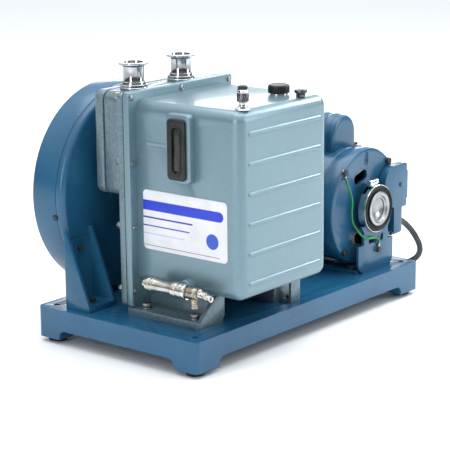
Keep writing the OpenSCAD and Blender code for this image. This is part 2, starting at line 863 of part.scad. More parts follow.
module motor_stator() color("#8a4a25") on_bench() {
    for (w = [[shell_y0 + 6, 14], [shell_y1 - 20, 14]])
        ring_y(74, 54, w[0], w[0] + w[1], motor_x, motor_z);
    ring_y(motor_r - 2.6, 50, shell_y0 + 20, shell_y1 - 20, motor_x, motor_z);
}

module bell_vents(y0, y1) {
    for (a = [20, 95, 165, 270]) translate([motor_x, 0, motor_z]) rotate([0, -a, 0])
        translate([vent_r, y0, 0]) rotate([-90, 0, 0])
            for (k = [-6:6:6]) translate([0, k, 0]) cylinder(r = 6, h = y1 - y0);
}

// Cup-shaped end bell: face at y0, open side at y1, hub standing out of the face.
module front_endbell() color(blue) on_bench() {
    difference() {
        union() {
            rod_y(bell_r, bell_y, shell_y0, motor_x, motor_z);
            rod_y(hub_r, front_ring_y + 2, bell_y + 1, motor_x, motor_z);
        }
        ring_y(bell_r - 8, 26, bell_y + 5, shell_y0 + 1, motor_x, motor_z);
        rod_y(20, bell_y - 6, shell_y0 + 1, motor_x, motor_z);
        bell_vents(bell_y - 1, bell_y + 6);
        for (p = bell_screws) rod_y(2.6, bell_y - 1, shell_y0 - 4, p[0], p[1]);
        for (z = box_screw_z) rod_y(2.1, bell_y - 1, bell_y + 4, box_screw_x, z);
    }
}

module rear_endbell() color(blue) on_bench() {
    difference() {
        union() {
            rod_y(bell_r, shell_y1, bell_end_y, motor_x, motor_z);
            rod_y(hub_r, bell_end_y - 1, rear_ring_y + ring_l, motor_x, motor_z);
        }
        ring_y(bell_r - 8, 26, shell_y1 - 1, bell_end_y - 5, motor_x, motor_z);
        rod_y(20, shell_y1 - 1, bell_end_y + 6, motor_x, motor_z);
        rod_y(10, bell_end_y, rear_ring_y + ring_l + 1, motor_x, motor_z);
        bell_vents(bell_end_y - 6, bell_end_y + 1);
        for (p = bell_screws) rod_y(2.6, shell_y1 + 4, bell_end_y + 1, p[0], p[1]);
    }
}

module motor_bearings() color(steel) on_bench() {
    ring_y(20, motor_shaft_r + 0.06, bell_y - 6, bell_y + 6, motor_x, motor_z);
    ring_y(20, motor_shaft_r + 0.06, bell_end_y - 6, bell_end_y + 6, motor_x, motor_z);
}

module motor_shaft() color(steel) on_bench() {
    rod_y(motor_shaft_r, bell_y - 5.5, belt_y + 14, motor_x, motor_z);
}

// Squirrel-cage rotor with its cooling fan.
module motor_rotor() color(aluminium) on_bench() {
    difference() {
        union() {
            rod_y(49.4, shell_y0 + 18, shell_y1 - 18, motor_x, motor_z);
            rod_y(18, shell_y0 + 4, shell_y1 + 2, motor_x, motor_z);
            rod_y(46, shell_y1 - 12, shell_y1 - 10, motor_x, motor_z);
            for (i = [0:7]) translate([motor_x, 0, motor_z]) rotate([0, 45 * i, 0])
                block(16, shell_y1 - 12, -1, 46, shell_y1 - 1, 1);
        }
        rod_y(motor_shaft_r, shell_y0, shell_y1 + 4, motor_x, motor_z);
    }
}

module motor_fasteners() color(zinc) on_bench() {
    for (p = bell_screws) {
        rod_y(4.6, bell_y - 4, bell_y - 1, p[0], p[1]);
        rod_y(2.5, bell_y - 1.5, bell_y + 16, p[0], p[1]);
        rod_y(4.6, bell_end_y, bell_end_y + 3, p[0], p[1]);
        rod_y(2.5, bell_end_y - 14, bell_end_y + 0.5, p[0], p[1]);
    }
    for (p = bell_screws) if (p != bell_screws[1]) ring_y(4.8, 2.6, bell_y - 1, bell_y, p[0], p[1]);
    for (x = cradle_bolt_x, y = cradle_bolt_y)
        bolt_down(x, y, base_h + 4, 3.1, 6, 5, 4 + base_wall);
    bolt_down(support_bolt[0], support_bolt[1], base_h + 4, 3.1, 4.6, 4, 4 + base_wall);
    bolt_down(bracket_bolt[0], bracket_bolt[1], base_h + 8, 3.1, 6, 5, 8 + base_wall);
    rod_y(4, cradle_y0 - 4, cradle_y0 - 1, ground_screw[0], ground_screw[1]);
    rod_y(2, cradle_y0 - 1.5, cradle_y0 + 6, ground_screw[0], ground_screw[1]);
}

module resilient_rings() color(black) on_bench() {
    for (y = [front_ring_y, rear_ring_y]) ring_y(ring_r, hub_r, y, y + ring_l, motor_x, motor_z);
}

module ring_clamps() color(chrome) on_bench() {
    for (y = [front_ring_y, rear_ring_y]) {
        ring_y(band_r, ring_r, y + 2, y + 14, motor_x, motor_z);
        block(motor_x - 16, y + 4, motor_z + band_r + 0.2, motor_x + 4, y + 12, motor_z + band_r + 8);
        block(motor_x - 10, y + 5, motor_z + band_r - 0.6, motor_x - 2, y + 11, motor_z + band_r + 1);
    }
}

module cradle_upright(y0) {
    slab_y(y0, y0 + 4) difference() {
        union() {
            round_rect(motor_x - apron_half, base_h, motor_x + apron_half, base_h + 40, apron_corner);
            translate([motor_x - apron_half, base_h + 20]) square([2 * apron_half, 20]);
            intersection() {
                translate([motor_x, motor_z]) circle(band_r + 8);
                translate([motor_x - 60, base_h]) square([120, motor_rise - 22]);
            }
            for (s = [-1, 1]) translate([motor_x + s * 24 - 6, base_h + 30]) square([12, 30]);
        }
        translate([motor_x, motor_z]) circle(band_r + 0.1);
    }
}

module motor_cradle() color(blue) on_bench() {
    difference() {
        union() {
            flat_half = apron_half - apron_corner;
            block(motor_x - flat_half, cradle_y0, base_h, motor_x + flat_half, cradle_y1, base_h + 4);
            block(motor_x - apron_half, cradle_y0 + 4, base_h, motor_x + apron_half, cradle_y1 - 4, base_h + 4);
            cradle_upright(cradle_y0);
            cradle_upright(cradle_y1 - 4);
        }
        for (x = cradle_bolt_x, y = cradle_bolt_y)
            rod_z(bolt_hole_r, base_h - 1, base_h + 5, x, y);
        rod_y(2.1, cradle_y0 - 1, cradle_y0 + 5, ground_screw[0], ground_screw[1]);
    }
}

module capacitor_outline(r) {
    translate([cap_x, cap_z]) circle(r);
    translate([cap_x - r, motor_z + 60]) square([2 * r, cap_z - motor_z - 60]);
}

module capacitor_cover() color(blue) on_bench() {
    r = 29;
    y0 = 80;
    y1 = 180;
    difference() {
        union() {
            slab_y(y0, y1) capacitor_outline(r);
            for (y = [y0 + 14:16:y1 - 16]) slab_y(y, y + 7) capacitor_outline(r + 1.5);
            slab_y(y0 - 2, y0 + 12) translate([cap_x + r - 1, motor_z + 60]) square([12, 20]);
        }
        slab_y(y0 + 2, y1 - 2) capacitor_outline(r - 2);
        rod_y(motor_r, y0 - 5, y1 + 5, motor_x, motor_z);
        rod_z(2.1, motor_z + 50, motor_z + 90, cap_x + r + 5, y0 + 5);
    }
    rod_z(2, motor_z + 77.5, motor_z + 81, cap_x + r + 5, y0 + 5);
    rod_z(4, motor_z + 80, motor_z + 83, cap_x + r + 5, y0 + 5);
}

module capacitor() color(black) on_bench() {
    rod_y(17, 92, 172, cap_x, motor_z + motor_r + 18);
}

module box_outline(inset) {
    hull() {
        translate([box_x0 + 27, box_z0 + 37]) circle(27 - inset);
        translate([490, box_z0 + inset]) square([box_x1 - 490 - inset, box_z1 - box_z0 - 2 * inset]);
    }
    round_rect(478 + inset, 88 + inset, 499 - inset, box_z0 + 20, 5);
}

// Terminal compartment on the front end bell, with a shoulder beside the motor
// that carries the cord's gland.
module terminal_box() color(blue) on_bench() {
    difference() {
        union() {
            slab_y(box_front_y, bell_y) box_outline(0);
            difference() {
                slab_y(bell_y - 1, 72) round_rect(465, 81, box_x1, box_z1 - 2, 8);
                rod_y(bell_r, bell_y, 73, motor_x, motor_z);
                block(box_x0 - 1, bell_y - 2, 70, box_x1 + 1, bell_y, 200);
            }
        }
        slab_y(box_front_y - 1, bell_y - 2) box_outline(3);
        rod_x(4.5, 490, gland_at[0] + 1, gland_at[1], gland_at[2]);
    }
}

// Cover with a plate folded back along the compartment's outer side.
module terminal_cover() color(blue) on_bench() {
    slab_y(box_front_y - 3, box_front_y) box_outline(0);
    block(box_x1, box_front_y - 3, box_z0 + 11, box_x1 + side_plate_t, 68, box_z1 - 11);
    rod_y(3.6, box_front_y - 5.5, box_front_y - 2.5, box_screw_x, box_screw_z[1]);
}

// ---------------------------------------------------------------- leads

ground_route = [
    [372, 40, 188], [371, 36, 181], [373, 33, 171], [375, 30, 154], [371, 28, 139],
    [371, 26, 126], [377, 23, 115], [386, 21, 105], [398, 19, 99], [411, 18.5, 97.5],
    [421, 19, 95], [427, 20, 90], [430, 22, 82]
];

// Ring terminal on a screw: eye, tongue and crimp barrel hanging below or standing above it.
module ring_terminal(eye_r, hole_r, back_y, at_x, eye_z, barrel_z0, barrel_z1) {
    ring_y(eye_r, hole_r, back_y - 1, back_y, at_x, eye_z);
    tongue_z0 = min(eye_z - eye_r, barrel_z0);
    tongue_z1 = max(eye_z + eye_r, barrel_z1);
    difference() {
        block(at_x - 1.5, back_y - 1, tongue_z0, at_x + 1.5, back_y, tongue_z1);
        rod_y(eye_r - 1, back_y - 2, back_y + 1, at_x, eye_z);
        above = barrel_z1 > eye_z;
        block(at_x - 2, back_y - 2, above ? tongue_z0 - 1 : eye_z, at_x + 2, back_y + 1,
            above ? eye_z : tongue_z1 + 1);
    }
    rod_z(1.8, barrel_z0, barrel_z1, at_x, back_y - 2);
}

module ground_wire() color("#2f9e4a") on_bench() {
    ring_terminal(4.8, 2.6, bell_y, bell_screws[1][0], bell_screws[1][1], 185.5, 190);
    ring_terminal(4.2, 2.1, cradle_y0, ground_screw[0], ground_screw[1], 80.6, 85);
    tube(smooth_route(ground_route, 4), 1.5, 8);
}

// Gland nut with a tapered strain relief that the cord leaves from.
module cord_gland() color(black) on_bench() {
    x = gland_at[0];
    rod_x(8, x, x + 6, gland_at[1], gland_at[2]);
    translate([x + 5, gland_at[1], gland_at[2]]) rotate([0, 90, 0])
        cylinder(r1 = 6.8, r2 = cord_r + 0.7, h = gland_l - 5);
}

module power_cord() color(black) on_bench() tube(smooth_route(cord_route, 3), cord_r, 10);

module cord_coil() color(black) on_bench() {
    half = coil_cols * cord_d / 2;
    translate([coil_at[0], coil_at[1], 0]) rotate_extrude($fn = 96)
        translate([coil_r - half, 0]) square([2 * half, coil_rows * cord_d]);
}

module cord_tail() color(black) on_bench() tube(tail_route, cord_r, 10);

module power_plug() color(black) on_bench() {
    x = plug_at[0];
    y = plug_at[1];
    z = cord_r;
    rod_x(6, x - 12, x, y, 6);
    block(x - 42, y - 13, 0, x - 12, y + 13, 24);
    for (s = [-1, 1]) block(x - 60, y + s * 6.35 - 0.75, 12, x - 42, y + s * 6.35 + 0.75, 18);
    rod_x(2.4, x - 62, x - 42, y, 5);
}

base_plate();
rubber_feet();
oil_case();
body_gaskets();
body_plate();
pump_feet();
foot_bolts();
case_support();
port_block();
block_cover();
body_fasteners();
intake_flange();
exhaust_flange();
sight_glass_frame();
sight_glass_lens();
label_plate();
drain_pipe();
drain_valve();
drain_handle();
ballast_valve();
ballast_knob();
fill_neck();
fill_cap();
vent_plug();
stage_1_stator();
stage_2_stator();
stage_plates();
exhaust_valves();
shaft_seal();
pump_shaft();
pump_rotors();
vanes();
pump_pulley();
drive_belt();
guard_back();
guard_cover();
guard_bracket();
guard_screws();
motor_shell();
motor_stator();
front_endbell();
rear_endbell();
motor_bearings();
motor_fasteners();
resilient_rings();
ring_clamps();
capacitor_cover();
capacitor();
terminal_box();
terminal_cover();
motor_cradle();
motor_shaft();
motor_rotor();
motor_pulley();
ground_wire();
cord_gland();
power_cord();
cord_coil();
cord_tail();
power_plug();
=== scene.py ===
import math
import bmesh
import bpy
from mathutils import Matrix, Vector


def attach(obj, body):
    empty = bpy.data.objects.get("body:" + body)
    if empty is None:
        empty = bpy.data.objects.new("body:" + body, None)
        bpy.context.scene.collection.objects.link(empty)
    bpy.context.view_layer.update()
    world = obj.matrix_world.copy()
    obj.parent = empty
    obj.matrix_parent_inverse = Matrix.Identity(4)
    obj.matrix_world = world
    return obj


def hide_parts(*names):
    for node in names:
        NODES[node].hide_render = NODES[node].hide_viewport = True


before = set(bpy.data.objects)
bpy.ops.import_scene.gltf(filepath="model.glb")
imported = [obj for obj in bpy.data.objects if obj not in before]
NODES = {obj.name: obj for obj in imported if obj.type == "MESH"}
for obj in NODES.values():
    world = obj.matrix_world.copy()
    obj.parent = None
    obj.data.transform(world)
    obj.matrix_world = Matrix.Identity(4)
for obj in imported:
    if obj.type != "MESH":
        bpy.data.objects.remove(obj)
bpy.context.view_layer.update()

MM = 0.001
BENCH = (257.0, 132.5)  # bench place of the frame's origin
TURN = {"X": (0, math.pi / 2, 0), "Y": (-math.pi / 2, 0, 0), "Z": (0, 0, 0)}


def at(x, y, z):
    """A place on the pump's bench drawing, in mm, as a place in the frame."""
    return Vector(((x - BENCH[0]) * MM, (y - BENCH[1]) * MM, z * MM))


def bench(place):
    """A place in the frame as a place on the bench drawing, in mm."""
    return Vector((place.x / MM + BENCH[0], place.y / MM + BENCH[1], place.z / MM))


def on_axis(axis, centre, height):
    """The place at a height along an axis that crosses the other two coordinates at the centre."""
    a, b = centre
    return {"X": at(height, a, b), "Y": at(a, height, b), "Z": at(a, b, height)}[axis]


# ---------------------------------------------------------------- camera and light

yaw = math.radians(50.717)
pitch = math.radians(13.630)
roll = math.radians(-0.551)
ahead = Vector((math.sin(yaw) * math.cos(pitch), math.cos(yaw) * math.cos(pitch), -math.sin(pitch)))
level_right = Vector((math.cos(yaw), -math.sin(yaw), 0))
level_up = level_right.cross(ahead)
right = math.cos(roll) * level_right + math.sin(roll) * level_up
up = math.cos(roll) * level_up - math.sin(roll) * level_right
lens = bpy.data.cameras.new("studio_camera")
lens.sensor_width = 36
lens.lens = 134.82
camera = bpy.data.objects.new("studio_camera", lens)
camera.matrix_world = Matrix.Translation((-1.76972, -1.41666, 0.67917)) @ Matrix(
    (right, up, -ahead)
).transposed().to_4x4()
bpy.context.scene.collection.objects.link(camera)
bpy.context.scene.camera = camera
bpy.context.scene.view_settings.view_transform = "Standard"


def soft_light(name, place, aim, size, watts):
    """A square softbox that looks at a place."""
    lamp = bpy.data.lights.new(name, "AREA")
    lamp.shape = "RECTANGLE"
    lamp.size = size[0]
    lamp.size_y = size[1]
    lamp.energy = watts
    holder = bpy.data.objects.new(name, lamp)
    holder.location = place
    holder.rotation_euler = (Vector(aim) - Vector(place)).to_track_quat("-Z", "Y").to_euler()
    bpy.context.scene.collection.objects.link(holder)


soft_light("top_softbox", (0.2, 0.1, 2.3), (0, 0, 0.2), (2.4, 2.0), 38)
soft_light("edge_softbox", (2.0, -0.5, 1.6), (0, 0, 0.15), (0.9, 0.6), 22)
soft_light("rear_softbox", (2.3, 1.9, 0.95), (0, 0, 0.3), (1.3, 0.7), 11)
soft_light("front_softbox", (1.5, -2.2, 1.0), (0.1, 0, 0.15), (0.9, 1.4), 18)
soft_light("side_softbox", (-2.4, -0.3, 0.8), (-0.1, 0, 0.2), (0.5, 1.0), 11)
world = bpy.data.worlds.new("studio")
world.use_nodes = True
bpy.context.scene.world = world

# ---------------------------------------------------------------- materials


def colour(code):
    """sRGB hex as a linear colour."""
    parts = [int(code[i:i + 2], 16) / 255 for i in (1, 3, 5)]
    linear = [p / 12.92 if p <= 0.04045 else ((p + 0.055) / 1.055) ** 2.4 for p in parts]
    return (*linear, 1)


def put(tree, kind, inputs=(), **settings):
    """Adds a node: an input is a number or colour for a socket, or the output that is joined to it."""
    node = tree.nodes.new("ShaderNode" + kind)
    for key, value in settings.items():
        setattr(node, key, value)
    for key, value in dict(inputs).items():
        if isinstance(value, bpy.types.NodeSocket):
            tree.links.new(value, node.inputs[key])
        else:
            node.inputs[key].default_value = value
    return node


# The room: dark walls at the horizon and a bright ceiling, so that plated parts show light and dark.
room = world.node_tree
heading = put(room, "SeparateXYZ", {0: put(room, "TexCoord").outputs["Generated"]}).outputs["Z"]
ceiling = put(room, "MapRange", {
    "Value": heading, "From Min": 0.05, "From Max": 0.75, "To Min": 0.08, "To Max": 1.3,
})
room.links.new(ceiling.outputs[0], room.nodes["Background"].inputs["Strength"])
room.nodes["Background"].inputs["Color"].default_value = (0.93, 0.97, 1, 1)

FINISH = {}


def finish(name, slot, **sockets):
    """Starts a finish with what is the same all over it. Returns its node tree, shader and object place."""
    material = bpy.data.materials.new(name)
    material.use_nodes = True
    tree = material.node_tree
    shader = tree.nodes["Principled BSDF"]
    for key, value in sockets.items():
        shader.inputs[key.replace("_", " ")].default_value = value
    FINISH[name] = (material, slot)
    place = put(tree, "TexCoord").outputs["Object"]
    return tree, shader, place


def spread(tree, value, low, high, base=None, lit=None):
    """Joins a pattern between two strengths, or between two colours when they are given."""
    if base is None:
        return put(tree, "MapRange", {"Value": value, "To Min": low, "To Max": high}).outputs[0]
    ramp = put(tree, "ValToRGB", {"Fac": value})
    ramp.color_ramp.elements[0].position = low
    ramp.color_ramp.elements[1].position = high
    ramp.color_ramp.elements[0].color = colour(base)
    ramp.color_ramp.elements[1].color = colour(lit)
    return ramp.outputs["Color"]


def cloud(tree, place, size_mm, detail=2.0):
    """Uneven pattern whose patches are about size_mm across."""
    settings = {"Vector": place, "Scale": 1 / (size_mm * MM), "Detail": detail}
    return put(tree, "TexNoise", settings).outputs[0]


def relief(tree, shader, height, depth_mm, strength=1.0):
    """Turns a height pattern into the shader's bump."""
    bump = put(tree, "Bump", {"Height": height, "Distance": depth_mm * MM, "Strength": strength})
    tree.links.new(bump.outputs[0], shader.inputs["Normal"])


def sprayed_enamel(name, slot, dark, light, roughness=0.3):
    # Alkyd machine enamel sprayed on steel and iron: orange peel about 2.5 mm across, slightly
    # uneven gloss, and tone that drifts over a hand's width.
    tree, shader, place = finish(name, slot, IOR=1.5, Coat_Weight=0.12, Coat_Roughness=0.1)
    drift = cloud(tree, place, 70, 3)
    tree.links.new(spread(tree, drift, 0.35, 0.65, dark, light), shader.inputs["Base Color"])
    gloss = spread(tree, cloud(tree, place, 18, 4), roughness - 0.015, roughness + 0.025)
    tree.links.new(gloss, shader.inputs["Roughness"])
    relief(tree, shader, cloud(tree, place, 2.5, 1), 0.012, 0.3)


def hammered_enamel(name, slot, dark, light, dimple=0.03, lustre=0.55):
    # Enamel with leafed aluminium pigment: very shallow round dimples about 4 mm across, a
    # metallic lustre, and slightly darker pools in the dimples.
    tree, shader, place = finish(name, slot, IOR=1.5, Metallic=lustre, Coat_Weight=0.4, Coat_Roughness=0.12)
    cells = put(tree, "TexVoronoi", {"Vector": place, "Scale": 1 / (4.0 * MM), "Smoothness": 0.7},
                feature="SMOOTH_F1")
    grain = cloud(tree, place, 1.6, 2)
    shape = put(tree, "Math", {0: cells.outputs["Distance"], 1: grain}, operation="ADD")
    drift = put(tree, "Math", {0: shape.outputs[0], 1: cloud(tree, place, 55, 2)}, operation="ADD")
    scaled = put(tree, "Math", {0: drift.outputs[0], 1: 0.5}, operation="MULTIPLY")
    tree.links.new(spread(tree, scaled.outputs[0], 0.42, 0.85, dark, light), shader.inputs["Base Color"])
    tree.links.new(spread(tree, shape.outputs[0], 0.3, 0.42), shader.inputs["Roughness"])
    relief(tree, shader, shape.outputs[0], dimple, 0.4)


def plated_metal(name, slot, dark, light, roughness, patch_mm=9.0, rings=0.0):
    # Bright plated or polished metal: thin cloudy stain, fine drawn marks and slightly uneven polish.
    tree, shader, place = finish(name, slot, Metallic=1.0)
    tree.links.new(
        spread(tree, cloud(tree, place, patch_mm, 4), 0.3, 0.7, dark, light), shader.inputs["Base Color"]
    )
    gloss = spread(tree, cloud(tree, place, patch_mm * 0.6, 3), roughness * 0.75, roughness * 1.3)
    tree.links.new(gloss, shader.inputs["Roughness"])
    stretch = put(tree, "Mapping", {"Vector": place, "Scale": (0.06, 0.06, 1) if rings else (1, 1, 1)})
    relief(tree, shader, cloud(tree, stretch.outputs[0], rings or 1.2, 2), 0.02, 0.35)


def moulded(name, slot, dark, light, roughness, grit_mm=0.8, depth=0.04, ior=1.46):
    # Moulded rubber or plastic: fine mould grain with slightly lighter handling marks.
    tree, shader, place = finish(name, slot, IOR=ior)
    marks = cloud(tree, place, 14, 5)
    tree.links.new(spread(tree, marks, 0.35, 0.7, dark, light), shader.inputs["Base Color"])
    gloss = spread(tree, cloud(tree, place, 6, 3), roughness - 0.07, roughness + 0.1)
    tree.links.new(gloss, shader.inputs["Roughness"])
    relief(tree, shader, cloud(tree, place, grit_mm, 2), depth, 0.5)


sprayed_enamel("blue_machine_enamel", "blue_enamel", "#1b5172", "#205a7b", 0.26)
sprayed_enamel("blue_base_enamel", "blue_enamel", "#1c5376", "#215c80", 0.26)
hammered_enamel("silver_blue_case_enamel", "hammered_enamel", "#728d98", "#78939e", 0.008)
hammered_enamel("hammered_block_enamel", "hammered_enamel", "#566b74", "#6f858e", 0.06, 0.45)
plated_metal("polished_stainless", "polished_steel", "#a3a7aa", "#c6c9cb", 0.09, 12, 0.5)
plated_metal("nickel_plate", "nickel_plate", "#b5b0a6", "#dcd8d0", 0.2)
plated_metal("zinc_plate", "zinc_plate", "#85898b", "#b3b7b8", 0.3, 4)
plated_metal("bright_chrome", "nickel_plate", "#c3c7c8", "#e6e8e8", 0.08)
plated_metal("dull_brass", "brass", "#8b8376", "#b8af9f", 0.26, 5)
plated_metal("black_chrome", "black_chrome", "#4b4c50", "#77787c", 0.2, 6)
plated_metal("turned_aluminium", "machined_aluminium", "#bfc2c3", "#dddfe0", 0.24, 10)
plated_metal("ground_steel", "ground_steel", "#8f9294", "#b3b6b8", 0.3, 12, 0.6)
moulded("cast_iron_skin", "cast_iron", "#3c3d3e", "#57585a", 0.62, 1.6, 0.12)
moulded("black_rubber", "rubber", "#131415", "#222326", 0.62, 1.0, 0.05)
moulded("black_moulding", "black_plastic", "#0e0f11", "#1e2023", 0.4, 1.0, 0.03)
moulded("cord_pvc", "black_plastic", "#1c1f24", "#2f343b", 0.42, 1.5, 0.03)
moulded("dark_screw_oxide", "black_chrome", "#1a1c1f", "#34373b", 0.45, 0.8, 0.03)
moulded("green_pvc", "green_insulation", "#14743a", "#1f9a4f", 0.36, 1.2, 0.02)
moulded("phenolic_laminate", "vane_laminate", "#3c2a1c", "#5a4230", 0.5, 1.0, 0.05)
moulded("varnished_copper", "copper_windings", "#6e3a1c", "#a0562c", 0.4, 1.4, 0.25, 1.6)
moulded("oil_pool", "sight_glass", "#120e07", "#241a0b", 0.15, 8, 0.01)


def clear_window():
    # Cast acrylic oil window, faintly yellow, with rare shallow scuffs.
    tree, shader, place = finish(
        "clear_acrylic", "sight_glass", IOR=1.49, Transmission_Weight=1.0, Base_Color=colour("#b9b29c")
    )
    tree.links.new(spread(tree, cloud(tree, place, 5, 4), 0.02, 0.14), shader.inputs["Roughness"])
    relief(tree, shader, cloud(tree, place, 6, 2), 0.02, 0.2)


clear_window()


def printed_label():
    # Screen-printed polyester label: satin white ground with a blue band, three thin rules, a plain
    # round spot and a fine grey line at the foot. Nothing on it is lettering.
    tree, shader, place = finish("printed_polyester", "label", IOR=1.5, Roughness=0.32, Coat_Weight=0.2)
    parts = put(tree, "SeparateXYZ", {0: place})
    ink = spread(tree, cloud(tree, place, 25, 2), 0.3, 0.7, "#d9dade", "#e6e6ec")
    across, upward = parts.outputs["Y"], parts.outputs["Z"]
    marks = [
        ("#1034c4", 196.1, 6.6, 7.5), ("#1c2f9c", 180.2, 1.1, 52), ("#4a43b4", 169.4, 0.9, 57),
        ("#b9b5e2", 159.0, 0.7, 65), ("#6f7076", 143.4, 0.45, 8),
    ]
    for code, height, half, end in marks:
        past = put(tree, "Math", {0: (end - BENCH[1]) * MM, 1: across}, operation="SUBTRACT")
        beyond = put(tree, "Math", {0: past.outputs[0], 1: 0.0}, operation="MAXIMUM")
        above = put(tree, "Math", {0: upward, 1: height * MM}, operation="SUBTRACT")
        gap = put(tree, "CombineXYZ", {0: beyond.outputs[0], 1: above.outputs[0]})
        reach = put(tree, "VectorMath", {0: gap.outputs[0]}, operation="LENGTH")
        inside = put(tree, "Math", {0: reach.outputs["Value"], 1: half * MM}, operation="LESS_THAN")
        ink = put(tree, "Mix", {0: inside.outputs[0], 6: ink, 7: colour(code)}, data_type="RGBA").outputs[2]
    spot = at(55.5, 19, 163)
    flat = put(tree, "CombineXYZ", {0: spot.x, 1: across, 2: upward})
    reach = put(tree, "VectorMath", {0: flat.outputs[0], 1: spot}, operation="DISTANCE")
    inside = put(tree, "Math", {0: reach.outputs["Value"], 1: 10 * MM}, operation="LESS_THAN")
    spotted = {0: inside.outputs[0], 6: ink, 7: colour("#2250bf")}
    ink = put(tree, "Mix", spotted, data_type="RGBA").outputs[2]
    tree.links.new(ink, shader.inputs["Base Color"])
    relief(tree, shader, cloud(tree, place, 3, 1), 0.02, 0.2)


printed_label()

# ---------------------------------------------------------------- bench tools


def bare():
    """Leaves edit mode and deselects everything."""
    if bpy.context.object and bpy.context.object.mode == "EDIT":
        bpy.ops.object.mode_set(mode="OBJECT")
    bpy.ops.object.select_all(action="DESELECT")


def grab(piece):
    """Selects only this piece."""
    bare()
    piece.select_set(True)
    bpy.context.view_layer.objects.active = piece


def settled(name):
    """Names the primitive just added and moves its place into its mesh."""
    piece = bpy.context.object
    piece.name = name
    piece.data.name = name
    bpy.ops.object.transform_apply(location=True, rotation=True, scale=True)
    return piece


def block(name, low, high):
    """Box between two bench corners."""
    bare()
    a, b = at(*low), at(*high)
    bpy.ops.mesh.primitive_cube_add(size=1, location=(a + b) / 2, scale=b - a)
    return settled(name)


def turned(name, axis, centre, steps, sides=48):
    """Round piece: a disc extruded and scaled through steps of (radius, height along the axis)."""
    bare()
    radius, height = steps[0]
    bpy.ops.mesh.primitive_circle_add(
        vertices=sides, radius=radius * MM, fill_type="NGON",
        location=on_axis(axis, centre, height), rotation=TURN[axis],
    )
    piece = settled(name)
    bpy.ops.object.mode_set(mode="EDIT")
    bpy.ops.mesh.select_all(action="SELECT")
    for wider, higher in steps[1:]:
        move = on_axis(axis, centre, higher) - on_axis(axis, centre, height)
        bpy.ops.mesh.extrude_region_move(TRANSFORM_OT_translate={"value": move})
        if abs(wider - radius) > 1e-6:
            grow = wider / radius
            middle = on_axis(axis, centre, higher)
            bpy.ops.transform.resize(value=(grow, grow, grow), center_override=middle)
        radius, height = wider, higher
    bpy.ops.mesh.select_all(action="SELECT")
    bpy.ops.mesh.normals_make_consistent(inside=False)
    bpy.ops.object.mode_set(mode="OBJECT")
    return piece


def collar(name, axis, centre, outline, sides=48):
    """Round piece with a hole through it: a closed outline of (radius, height) turned about the axis."""
    bare()
    radius, height = outline[0]
    bpy.ops.mesh.primitive_circle_add(
        vertices=sides, radius=radius * MM, fill_type="NOTHING",
        location=on_axis(axis, centre, height), rotation=TURN[axis],
    )
    piece = settled(name)
    bpy.ops.object.mode_set(mode="EDIT")
    bpy.ops.mesh.select_all(action="SELECT")
    for wider, higher in outline[1:] + outline[:1]:
        move = on_axis(axis, centre, higher) - on_axis(axis, centre, height)
        bpy.ops.mesh.extrude_edges_move(TRANSFORM_OT_translate={"value": move})
        if abs(wider - radius) > 1e-6:
            grow = wider / radius
            middle = on_axis(axis, centre, higher)
            bpy.ops.transform.resize(value=(grow, grow, grow), center_override=middle)
        radius, height = wider, higher
    bpy.ops.mesh.select_all(action="SELECT")
    bpy.ops.mesh.remove_doubles(threshold=1e-6)
    bpy.ops.mesh.normals_make_consistent(inside=False)
    bpy.ops.object.mode_set(mode="OBJECT")
    return piece


def choose(piece, kind, test):
    """Opens the piece and selects what passes: edges by their two ends, faces by middle and facing."""
    grab(piece)
    bpy.ops.object.mode_set(mode="EDIT")
    bpy.ops.mesh.select_mode(type=kind)
    bpy.ops.mesh.select_all(action="DESELECT")
    mesh = bmesh.from_edit_mesh(piece.data)
    if kind == "EDGE":
        for edge in mesh.edges:
            edge.select_set(bool(test(*(bench(v.co) for v in edge.verts))))
    elif kind == "FACE":
        mesh.normal_update()
        for face in mesh.faces:
            face.select_set(bool(test(bench(face.calc_center_median()), face.normal)))
    else:
        for vertex in mesh.verts:
            vertex.select_set(bool(test(bench(vertex.co))))
    bmesh.update_edit_mesh(piece.data)


def rounded(piece, radius, test, segments=4):
    """Rounds the chosen edges."""
    choose(piece, "EDGE", test)
    bpy.ops.mesh.bevel(offset=radius * MM, segments=segments, affect="EDGES")
    bpy.ops.object.mode_set(mode="OBJECT")
    return piece


def runs(axis):
    """Test for edges along an axis."""
    k = "XYZ".index(axis)
    others = [i for i in range(3) if i != k]
    return lambda a, b: all(abs(a[i] - b[i]) < 0.01 for i in others)


def lies(axis, value):
    """Test for edges in a plane across an axis."""
    k = "XYZ".index(axis)
    return lambda a, b: abs(a[k] - value) < 0.01 and abs(b[k] - value) < 0.01


def applied(piece, kind, **settings):
    """Adds a modifier and applies it."""
    grab(piece)
    modifier = piece.modifiers.new(kind.lower(), kind)
    for key, value in settings.items():
        setattr(modifier, key, value)
    bpy.ops.object.modifier_apply(modifier=modifier.name)
    return piece


def cut(piece, *cutters):
    """Cuts the cutters' shapes out of a piece."""
    for cutter in cutters:
        applied(piece, "BOOLEAN", object=cutter, operation="DIFFERENCE", solver="EXACT")
        bpy.data.objects.remove(cutter)
    return piece


def joined(piece, *others):
    """Makes several solids one piece."""
    grab(piece)
    for other in others:
        other.select_set(True)
    bpy.ops.object.join()
    return piece


def copied(piece, name, move=(0, 0, 0), turn=None):
    """A copy with its own mesh, moved in mm and, if asked, turned by a matrix about the origin."""
    mesh = piece.data.copy()
    twin = bpy.data.objects.new(name, mesh)
    bpy.context.scene.collection.objects.link(twin)
    mesh.transform(Matrix.Translation(Vector(move) * MM) @ (turn or Matrix.Identity(4)))
    return twin


